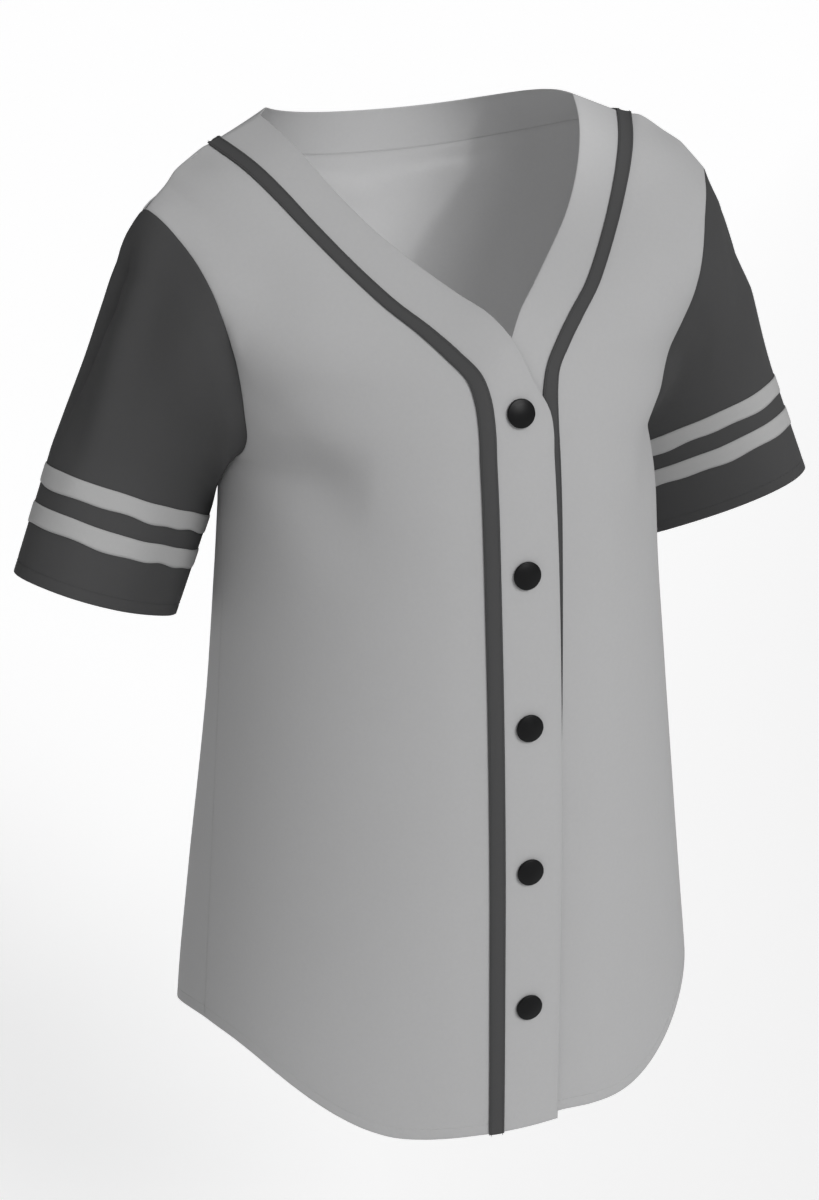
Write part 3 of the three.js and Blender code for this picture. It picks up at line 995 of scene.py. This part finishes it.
@dataclass
class StitchMaker:
    """Sews rows of stitches along lines with a tree of nodes that has named inputs."""

    length: float = 2.3 * MM
    pitch: float = 2.9 * MM
    radius: float = 0.2 * MM
    smallest: float = 0.9
    largest: float = 1.08
    segments: int = 6
    rings: int = 4
    seed: int = 7

    def __post_init__(self) -> None:
        """Builds the tree that all the rows share."""
        self.tree = self.row_tree()

    def row_tree(self) -> bpy.types.NodeTree:
        """Builds the tree: uneven beads along a line, made real and given their thread.

        Returns:
            The tree.
        """
        group = bpy.data.node_groups.new("stitch_row", "GeometryNodeTree")
        face = group.interface
        face.new_socket("Geometry", in_out="INPUT", socket_type="NodeSocketGeometry")
        for name in ("Stitch length", "Stitch pitch", "Thread radius"):
            face.new_socket(name, in_out="INPUT", socket_type="NodeSocketFloat")
        face.new_socket("Seed", in_out="INPUT", socket_type="NodeSocketInt")
        face.new_socket("Thread", in_out="INPUT", socket_type="NodeSocketMaterial")
        face.new_socket("Geometry", in_out="OUTPUT", socket_type="NodeSocketGeometry")
        graph = Graph(group)
        given = graph.node("NodeGroupInput")
        line = graph.node("GeometryNodeMeshToCurve", {}, {"Mesh": given.other("Geometry")})
        spaced = {"Curve": line, "Length": given.other("Stitch pitch")}
        places = graph.node("GeometryNodeCurveToPoints", {"mode": "LENGTH"}, spaced)
        ball = {"Segments": self.segments, "Rings": self.rings, "Radius": 1.0}
        bead = graph.node("GeometryNodeMeshUVSphere", {}, ball)
        thread, half = given.other("Thread radius"), given.other("Stitch length") * 0.5
        size = graph.node("ShaderNodeCombineXYZ", {}, [thread, thread, half])
        spread = {"Min": self.smallest, "Max": self.largest, "Seed": given.other("Seed")}
        uneven = graph.node("FunctionNodeRandomValue", {"data_type": "FLOAT"}, spread, 1)
        scale = graph.node("ShaderNodeVectorMath", {"operation": "SCALE"}, {0: size, "Scale": uneven})
        copies = {"Points": places, "Instance": bead, "Rotation": places.other("Rotation"), "Scale": scale}
        sewn = graph.node("GeometryNodeInstanceOnPoints", {}, copies)
        real = graph.node("GeometryNodeRealizeInstances", {}, {"Geometry": sewn})
        paint = {"Geometry": real, "Material": given.other("Thread")}
        graph.end("NodeGroupOutput", "Geometry", graph.node("GeometryNodeSetMaterial", {}, paint))
        return group

    def sew(self, name: str, lines: Sequence[np.ndarray], thread: bpy.types.Material, slot: str) -> None:
        """Sews stitches along lines as one plain piece.

        Args:
            name: the piece's name.
            lines: the lines, each as points in order.
            thread: the thread's material.
            slot: a material slot, not used.
        """
        edges, first = [], 0
        for line in lines:
            edges += [(first + k, first + k + 1) for k in range(len(line) - 1)]
            first += len(line)
        mesh = bpy.data.meshes.new(name + "_line")
        mesh.from_pydata(np.concatenate(lines).tolist(), edges, [])
        guide = put(name + "_line", mesh)
        modifier = guide.modifiers.new("stitches", "NODES")
        modifier.node_group = self.tree
        given = {
            "Stitch length": self.length,
            "Stitch pitch": self.pitch,
            "Thread radius": self.radius,
            "Seed": self.seed,
            "Thread": thread,
        }
        for item in self.tree.interface.items_tree:
            if item.in_out == "INPUT" and item.name in given:
                modifier[item.identifier] = given[item.name]
        ready = guide.evaluated_get(bpy.context.evaluated_depsgraph_get())
        plain = bpy.data.meshes.new_from_object(ready)
        plain.name = name
        guide.modifiers.clear()
        bpy.data.objects.remove(guide)
        dress(put(name, plain), thread, ())


# The jersey's parts


@dataclass
class Finishes:
    """All the materials of the jersey."""

    body: bpy.types.Material
    sleeve: bpy.types.Material
    braid: bpy.types.Material
    stripe: bpy.types.Material
    button: bpy.types.Material


@dataclass(frozen=True)
class Cut:
    """Flat size of a piece's cut, in metres, and its area in square metres."""

    width: float
    length: float
    area: float


@dataclass
class Jersey:
    """The sewn jersey: builds every piece on the solids of the frame."""

    nodes: dict[str, bpy.types.Object]
    finishes: Finishes
    drape: Drape
    stitches: StitchMaker
    fine: float = 3.0 * MM
    cloth: float = 0.9 * MM
    trim: float = 0.8 * MM
    hem: float = 9.0 * MM
    front_cut: Cut = Cut(0.245, 0.75, 0.125)
    back_cut: Cut = Cut(0.66, 0.68, 0.312)
    band_cut: Cut = Cut(0.046, 0.77, 0.031)
    neck_cut: Cut = Cut(0.41, 0.04, 0.0122)
    sleeve_cut: Cut = Cut(0.465, 0.25, 0.071)
    braid_cut: Cut = Cut(0.0105, 0.755, 0.0077)
    neck_braid_cut: Cut = Cut(0.41, 0.0105, 0.0037)
    stripe_cut: Cut = Cut(0.40, 0.013, 0.0050)
    # how far a border's change fades into the piece, and how far off it is still drawn
    seam_reach: float = 12 * MM
    neck_reach: float = 10 * MM
    seam_gap: float = 2.5 * MM
    braid_reach: float = 8 * MM
    braid_gap: float = 3 * MM
    armhole_reach: float = 18 * MM
    armhole_gap: float = 9 * MM
    # rows of stitches on the braid, and how far thread stands out or sinks in
    braid_rows: tuple[float, float] = (0.13, 0.87)
    braid_inset: float = 1.3 * MM
    thread_out: float = 0.1 * MM
    # stripes: distances from the cuff, shift on each side, height and waves of the edges
    stripe_at: dict[str, tuple[float, float]] = field(
        default_factory=lambda: {"upper": (61.7 * MM, 74.6 * MM), "lower": (36.2 * MM, 49.4 * MM)}
    )
    stripe_shift: dict[str, float] = field(default_factory=lambda: {"left": 1.3 * MM, "right": -1.2 * MM})
    stripe_lift: float = 0.75 * MM
    stripe_clear: float = 0.15 * MM
    stripe_rows: int = 9
    stripe_phase: tuple[float, float] = (70.0, 30.0)
    long_waves: int = 5
    long_wave: float = 0.5 * MM
    short_waves: int = 11
    short_wave: float = 0.4 * MM
    wave_above: float = 0.4
    wave_growth: float = 0.8
    made: dict[str, Cloth] = field(default_factory=dict)
    sewn_on: dict[str, list[str]] = field(default_factory=dict)

    def wall(self, node: str, thickness: float = CAD_CLOTH, ring: bool = False) -> SolidWall:
        """Reads one node's solid as rows and columns.

        Args:
            node: the node's name.
            thickness: its wall.
            ring: whether it closes on itself.

        Returns:
            Its outer and inner points.
        """
        heart = TORSO
        if ring:
            low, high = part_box(node)
            heart = (np.array(low) + np.array(high)) / 2
        return SolidWall(self.nodes[node], thickness, heart, ring)

    def draw(
        self, name: str, thickness: float, solid: SolidWall, rows: Optional[np.ndarray] = None
    ) -> Cloth:
        """Draws one piece finely and lays its creases.

        Args:
            name: the piece's name.
            thickness: the cloth's own thickness.
            solid: the points of its solid.
            rows: knots of the rows, to share with a neighbour.

        Returns:
            The cloth, which is kept in made too.
        """
        cloth = Cloth(solid, self.fine, thickness, rows)
        cloth.crease(self.drape)
        self.made[name] = cloth
        return cloth

    def draft(self) -> None:
        """Draws all the cloth finely and sews the edges to each other."""
        made = self.made
        for side in SIDES:
            front = self.draw("front_" + side, self.cloth, self.wall("front_" + side))
            self.draw("band_" + side, self.cloth, self.wall("band_" + side), front.row_knots)
            self.draw("braid_" + side, self.trim, self.wall("braid_" + side, CAD_TRIM), front.row_knots)
        back = self.draw("back", self.cloth, self.wall("back"))
        left, right = made["front_left"], made["front_right"]
        shoulder = np.concatenate([left.edge("last_row"), right.edge("last_row")])
        back.sew("first_column", left.edge("last_column"), self.seam_reach)
        back.sew("last_column", right.edge("first_column"), self.seam_reach)
        back.sew("last_row", shoulder, self.seam_reach, self.seam_gap)
        neck = self.draw("neck_band_back", self.cloth, self.wall("neck_band_back"))
        neck.sew("first_row", back.edge("last_row"), self.neck_reach, self.seam_gap)
        neck.sew("first_column", made["band_left"].edge("last_row"), self.neck_reach, self.seam_gap)
        neck.sew("last_column", made["band_right"].edge("last_row"), self.neck_reach, self.seam_gap)
        strip = self.draw("braid_back", self.trim, self.wall("braid_back", CAD_TRIM))
        strip.sew("first_column", made["braid_left"].edge("last_row"), self.braid_reach, self.braid_gap)
        strip.sew("last_column", made["braid_right"].edge("last_row"), self.braid_reach, self.braid_gap)
        for side, front, own, behind in (
            ("left", left, "last_column", "first_column"),
            ("right", right, "first_column", "last_column"),
        ):
            sleeve = self.draw("sleeve_" + side, self.cloth, self.wall("sleeve_" + side, ring=True))
            hole = np.concatenate([front.edge(own), back.edge(behind)[::-1]])
            sleeve.sew("first_row", hole, self.armhole_reach, self.armhole_gap)

    def build(
        self, name: str, material: bpy.types.Material, slot: str, sides: Sides, fold: float = 0.0
    ) -> None:
        """Makes one drafted piece and puts it in place of its node.

        Args:
            name: the piece's name.
            material: its material.
            slot: a material slot, not used.
            sides: how its borders end.
            fold: depth of its turned-up hem, if any.
        """
        cloth = self.made[name]
        piece = wall_mesh(name + "_cloth", *cloth.shell(sides, fold), cloth.ring)
        dress(piece, material, (name,))

    def panels(self) -> None:
        """Fronts, back, bands and the back neck band."""
        body = self.finishes.body
        free, sewn, under = Border.FREE, Border.SEWN, Border.COVERED
        for side in SIDES:
            front, band = (under, sewn), (free, under)
            if side == "right":
                front, band = front[::-1], band[::-1]
            self.build("front_" + side, body, "body_cloth", Sides(free, sewn, *front), self.hem)
            self.build("band_" + side, body, "body_cloth", Sides(free, sewn, *band))
        self.build("back", body, "body_cloth", Sides(free, sewn, sewn, sewn), self.hem)
        self.build("neck_band_back", body, "body_cloth", Sides(under, free, sewn, sewn))

    def sleeves(self) -> None:
        """Both sleeves and the two stripes round each."""
        for side in SIDES:
            sides = Sides(Border.SEWN, Border.FREE)
            self.build("sleeve_" + side, self.finishes.sleeve, "sleeve_cloth", sides, self.hem)
            for stripe in STRIPES:
                self.stripe(side, stripe)

    def stripe(self, side: str, stripe: str) -> None:
        """One stripe, laid on its sleeve at an even distance from the cuff, with slightly wavy edges.

        Args:
            side: left or right.
            stripe: upper or lower.
        """
        sleeve = self.made["sleeve_" + side]
        node = f"stripe_{stripe}_{side}"
        low, high = (d + self.stripe_shift[side] for d in self.stripe_at[stripe])
        distance = sleeve.border_distances()["last_row"][::-1]
        out = (sleeve.outer - sleeve.inward * self.stripe_lift)[::-1]
        around = 2 * math.pi * sleeve.u / sleeve.column_knots[-1]
        phase = low * self.stripe_phase[0] + high * self.stripe_phase[1]
        columns = range(len(sleeve.u))
        rows = []
        for share in np.linspace(0, 1, self.stripe_rows):
            wave = self.long_wave * np.sin(self.long_waves * around + phase)
            wave = wave + self.short_wave * np.sin(self.short_waves * around + 2 * phase + share)
            away = high + (low - high) * share + wave * (self.wave_above + self.wave_growth * share)
            rows.append(
                [[np.interp(away[j], distance[:, j], out[:, j, k]) for k in range(3)] for j in columns]
            )
        outer = np.array(rows)
        inward = across_normals(outer, True) * (self.stripe_clear - self.stripe_lift)
        # the stripe's edge rows are rounded off and get the cloth's painted border shade
        edge = np.zeros(outer.shape[:2])
        edge[[0, -1]] = 1
        rounded = outer + inward * edge[..., None] * 0.5
        piece = wall_mesh(node + "_cloth", rounded, outer + inward, edge, True)
        dress(piece, self.finishes.stripe, (node,))

    def trims(self) -> None:
        """The braid down both fronts and round the back of the neck."""
        free, under = Border.FREE, Border.COVERED
        for side in SIDES:
            self.build("braid_" + side, self.finishes.braid, "braid", Sides(free, under, free, free))
        self.build("braid_back", self.finishes.braid, "braid", Sides(free, free, under, under))

    def stitch(self, piece: str, name: str, lines: Sequence[np.ndarray], slot: str) -> None:
        """Sews rows of stitches that go with a piece, in thread of its colour.

        Args:
            piece: the cloth piece.
            name: name of the stitches.
            lines: where they run.
            slot: the slot of the cloth, which the thread shares.
        """
        done = self.finishes
        thread = {"braid": done.braid, "body_cloth": done.body, "sleeve_cloth": done.sleeve}[slot]
        self.stitches.sew(name, lines, thread, slot)
        self.sewn_on[piece] = [name]

    def stitch_hem(self, piece: str, name: str, border: str, slot: str) -> None:
        """Sews the row of stitches that holds a turned-up hem."""
        line = self.made[piece].line_across(border, STITCH_AT * self.hem, -self.thread_out)
        self.stitch(piece, name, [line], slot)

    def sew(self) -> None:
        """Rows of stitches along the braid, hem and cuffs."""
        for side in SIDES:
            braid = self.made["braid_" + side]
            lines = [braid.line_up(share, self.thread_out) for share in self.braid_rows]
            self.stitch("braid_" + side, "braid_stitches_" + side, lines, "braid")
            self.stitch_hem("front_" + side, "hem_stitches_" + side, "first_row", "body_cloth")
            self.stitch_hem("sleeve_" + side, "cuff_stitches_" + side, "last_row", "sleeve_cloth")
        strip, borders = self.made["braid_back"], ("first_row", "last_row")
        lines = [strip.line_across(border, self.braid_inset, self.thread_out) for border in borders]
        self.stitch("braid_back", "braid_stitches_back", lines, "braid")
        self.stitch_hem("back", "hem_stitches_back", "first_row", "body_cloth")

    def declare(self) -> None:
        """Looks up the made piece of every sheet of cloth that has a flat size listed."""
        cuts = {"front_" + side: self.front_cut for side in SIDES}
        cuts["back"] = self.back_cut
        cuts |= {"band_" + side: self.band_cut for side in SIDES}
        cuts["neck_band_back"] = self.neck_cut
        cuts |= {"sleeve_" + side: self.sleeve_cut for side in SIDES}
        cuts |= {"braid_" + side: self.braid_cut for side in SIDES}
        cuts["braid_back"] = self.neck_braid_cut
        cuts |= {f"stripe_{stripe}_{side}": self.stripe_cut for side in SIDES for stripe in STRIPES}
        for name, cut in cuts.items():
            bpy.data.objects[name + "_cloth"]


@dataclass
class Buttons:
    """Round domed buttons, turned about the axes of their solids."""

    nodes: dict[str, bpy.types.Object]
    material: bpy.types.Material
    count: int = 5
    radius: float = 9.0 * MM
    rim: float = 2.1 * MM
    dome: float = 1.3 * MM
    soft: float = 0.7 * MM
    sides: int = 56
    rings: int = 10
    steps: int = 4

    def profile(self) -> list[tuple[float, float]]:
        """Half section of the button, from the middle of its back to the middle of its front.

        Returns:
            Distance from the axis and height of each point.
        """
        flat = self.radius - self.soft
        points = [(0.0, 0.0), (flat, 0.0)]
        for centre, first in ((self.soft, -1), (self.rim - self.soft, 0)):
            for k in range(self.steps + 1):
                angle = math.pi / 2 * (k / self.steps + first)
                points.append((flat + self.soft * math.cos(angle), centre + self.soft * math.sin(angle)))
        for k in range(1, self.rings + 1):
            share = 1 - k / self.rings
            points.append((flat * share, self.rim + self.dome * (1 - share**2)))
        return points

    def place(self, node: bpy.types.Object) -> tuple[Vector, Vector]:
        """Middle of the back and outward axis of a button's solid.

        Args:
            node: the button's solid.

        Returns:
            The middle and the unit axis.
        """
        points = np.array([v.co for v in node.data.vertices], float)
        middle = (points.min(0) + points.max(0)) / 2
        _, _, ways = np.linalg.svd(points - points.mean(0), full_matrices=False)
        out = ways[2] if ways[2][1] < 0 else -ways[2]
        height = (points - middle) @ out
        return Vector(middle + out * height.min()), Vector(out)

    def build(self) -> None:
        """Makes the buttons in place of their nodes."""
        back, *turned, front = self.profile()
        angles = [2 * math.pi * k / self.sides for k in range(self.sides)]
        ring = [[1 + r * self.sides + k for k in range(self.sides)] for r in range(len(turned))]
        last = 1 + len(turned) * self.sides
        faces = []
        for k in range(self.sides):
            after = (k + 1) % self.sides
            faces.append((0, ring[0][after], ring[0][k]))
            faces.append((last, ring[-1][k], ring[-1][after]))
            faces += [(low[k], low[after], high[after], high[k]) for low, high in zip(ring, ring[1:])]
        for number in range(1, self.count + 1):
            name = f"button_{number}"
            at, out = self.place(self.nodes[name])
            side = Vector((0, 0, 1)).cross(out).normalized()
            up = out.cross(side)
            round_about = [side * math.cos(angle) + up * math.sin(angle) for angle in angles]
            points = [at + out * height + way * radius for radius, height in turned for way in round_about]
            points = [at + out * back[1], *points, at + out * front[1]]
            mesh = bpy.data.meshes.new(name + "_moulded")
            mesh.from_pydata([tuple(p) for p in points], [], faces)
            mesh.polygons.foreach_set("use_smooth", np.ones(len(faces), bool))
            dress(put(name + "_moulded", mesh), self.material, (name,))


# Studio


class LampKind(Enum):
    """What a light's rays do: run side by side, leave in a cone, or leave all round."""

    SUN = "SUN"
    SPOT = "SPOT"
    POINT = "POINT"


@dataclass(frozen=True)
class Lamp:
    """One light; its size is an angle in degrees for a sun and else a radius in metres."""

    name: str
    kind: LampKind
    energy: float
    size: float
    towards: Triple = (0.0, 0.0, -1.0)
    at: Triple = (0.0, 0.0, 0.0)
    cone: float = 0.0
    seen: bool = True

    def build(self) -> None:
        """Puts the light into the scene."""
        light = bpy.data.lights.new(self.name, self.kind.value)
        light.energy = self.energy
        if self.kind is LampKind.SUN:
            light.angle = math.radians(self.size)
        else:
            light.shadow_soft_size = self.size
        if self.kind is LampKind.SPOT:
            light.spot_size = math.radians(self.cone)
            light.spot_blend = 1.0
        lamp = put(self.name, light)
        lamp.location = self.at
        lamp.rotation_euler = Vector(self.towards).to_track_quat("-Z", "Y").to_euler()
        lamp.visible_camera = self.seen


@dataclass
class Studio:
    """Floor, lights and camera."""

    floor_height: float = -1.15
    floor_size: float = 60.0
    camera_at: Triple = (-0.517, -1.3255, 0.251)
    turn: float = 21.01
    pitch: float = 22.65
    lens: float = 66.36
    sensor: float = 36.0
    farthest: float = 200.0
    surround: float = 0.25
    # soft key from the front on the wearer's left, fill, and two lights into the neck
    lamps: tuple[Lamp, ...] = (
        Lamp("key_light", LampKind.SUN, 1.46, 28, (-0.24, 0.78, -0.58)),
        Lamp("fill_light", LampKind.SUN, 0.20, 80, (0.0, 0.6, -0.8)),
        Lamp("neck_light", LampKind.SPOT, 21.0, 0.05, (-0.39, 1.01, -0.72), (0.41, -0.90, 0.645), 9),
        Lamp("inner_light", LampKind.POINT, 0.17, 0.05, at=(0.0, -0.03, -0.15), seen=False),
    )

    def floor(self) -> None:
        """A plain pale floor far below the hem."""
        half = self.floor_size / 2
        mesh = bpy.data.meshes.new("studio_floor")
        corners = [(-half, -half), (half, -half), (half, half), (-half, half)]
        mesh.from_pydata([(x, y, self.floor_height) for x, y in corners], [], [(0, 1, 2, 3)])
        mesh.materials.append(FloorFinish().material())
        put("studio_floor", mesh)

    def lights(self) -> None:
        """The lights, and an even surrounding light."""
        for lamp in self.lamps:
            lamp.build()
        world = bpy.data.worlds.new("studio")
        world.use_nodes = True
        around = world.node_tree.nodes["Background"]
        around.inputs["Color"].default_value = (1, 1, 1, 1)
        around.inputs["Strength"].default_value = self.surround
        bpy.context.scene.world = world
        bpy.context.scene.view_settings.view_transform = "Standard"

    def camera(self) -> None:
        """Camera at the picture's angle."""
        data = bpy.data.cameras.new("camera")
        data.lens = self.lens
        data.sensor_width = self.sensor
        data.clip_end = self.farthest
        camera = put("camera", data)
        camera.location = self.camera_at
        camera.rotation_euler = (math.radians(90 - self.pitch), 0, math.radians(-self.turn))
        bpy.context.scene.camera = camera


def creases() -> Drape:
    """The main creases, listed one by one; those of the wearer's left are like the right's.

    Returns:
        The drape with all of them.
    """
    drape = Drape()
    one, pair = drape.one, drape.pair
    # under the bust
    pair((-0.150, -0.050, -0.196), (-0.096, -0.136, -0.203), 0.023, -7.5 * MM, 0.5)
    pair((-0.125, -0.100, -0.175), (-0.085, -0.148, -0.262), 0.030, -3.4 * MM, 0.7)
    pair((-0.148, -0.070, -0.150), (-0.115, -0.112, -0.175), 0.012, -1.2 * MM, 0.6)
    # beside the armholes
    pair((-0.1545, -0.0895, -0.108), (-0.150, -0.083, -0.130), 0.005, 1.3 * MM, 0.6)
    pair((-0.170, -0.052, -0.050), (-0.153, -0.091, -0.110), 0.010, 1.6 * MM)
    pair((-0.140, -0.080, -0.060), (-0.128, -0.108, -0.112), 0.018, -1.8 * MM)
    # shoulders and sleeve caps
    pair((-0.168, -0.020, -0.022), (-0.146, -0.010, -0.013), 0.018, -2.8 * MM, 0.9)
    one((-0.176, -0.035, -0.040), (-0.196, -0.030, -0.080), 0.020, 7.0 * MM)
    one((-0.206, -0.034, -0.096), (-0.214, -0.034, -0.118), 0.016, -1.2 * MM)
    one((0.193, -0.046, -0.078), (0.216, -0.048, -0.128), 0.020, -3.8 * MM)
    # outer folds of the sleeves
    one((-0.190, -0.048, -0.060), (-0.236, -0.048, -0.186), 0.011, 5.5 * MM)
    one((-0.228, -0.052, -0.160), (-0.262, -0.048, -0.232), 0.011, 3.6 * MM)
    one((-0.205, -0.012, -0.085), (-0.250, -0.012, -0.185), 0.024, -5.0 * MM)
    one((-0.226, -0.078, -0.262), (-0.182, -0.070, -0.262), 0.030, 4.5 * MM)
    one((0.203, -0.050, -0.100), (0.232, -0.046, -0.190), 0.014, 2.2 * MM)
    # fronts of the sleeves
    pair((-0.184, -0.055, -0.066), (-0.198, -0.060, -0.170), 0.009, -1.3 * MM)
    pair((-0.181, -0.078, -0.120), (-0.178, -0.062, -0.176), 0.010, 1.0 * MM)
    pair((-0.163, -0.083, -0.105), (-0.151, -0.078, -0.150), 0.008, -2.2 * MM, 0.7)
    # backs of the sleeves
    pair((-0.190, 0.045, -0.085), (-0.222, 0.050, -0.190), 0.016, -2.6 * MM)
    pair((-0.178, 0.060, -0.110), (-0.196, 0.055, -0.200), 0.011, 1.4 * MM, 0.6)
    # back and flanks
    pair((-0.150, 0.055, -0.200), (-0.090, 0.105, -0.235), 0.020, -2.6 * MM, 0.7)
    pair((-0.120, 0.090, -0.080), (-0.100, 0.110, -0.170), 0.016, -1.6 * MM)
    pair((-0.060, 0.105, -0.330), (-0.085, 0.100, -0.480), 0.022, -2.2 * MM, 0.6)
    pair((-0.135, 0.020, -0.330), (-0.150, 0.010, -0.500), 0.020, -2.0 * MM, 0.8)
    return drape


def main() -> None:
    """Builds the jersey piece by piece and sets up the studio."""
    logging.basicConfig(level=logging.INFO, format="%(name)s %(message)s")
    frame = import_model()
    looks = (
        ClothFinish("body_cloth", (0.508, 0.508, 0.512), Weave.KNIT, 0.9 * MM, 0.03 * MM, 0.04),
        ClothFinish("sleeve_cloth", (0.074, 0.074, 0.075), Weave.KNIT, 0.9 * MM, 0.03 * MM, 0.08),
        ClothFinish("braid_weave", (0.080, 0.080, 0.081), Weave.RIB, 0.8 * MM, 0.05 * MM, 0.06),
        ClothFinish("stripe_weave", (0.47, 0.47, 0.47), Weave.RIB, 0.8 * MM, 0.04 * MM, 0.05),
        PlasticFinish("button_plastic", (0.0055, 0.0055, 0.006), 0.38),
    )
    finishes = Finishes(*(look.material() for look in looks))
    jersey = Jersey(frame["nodes"], finishes, creases(), StitchMaker())
    jersey.draft()
    jersey.panels()
    jersey.sleeves()
    jersey.trims()
    jersey.sew()
    jersey.declare()
    Buttons(frame["nodes"], finishes.button).build()
    studio = Studio()
    studio.floor()
    studio.lights()
    studio.camera()


if __name__ == "__main__":
    main()
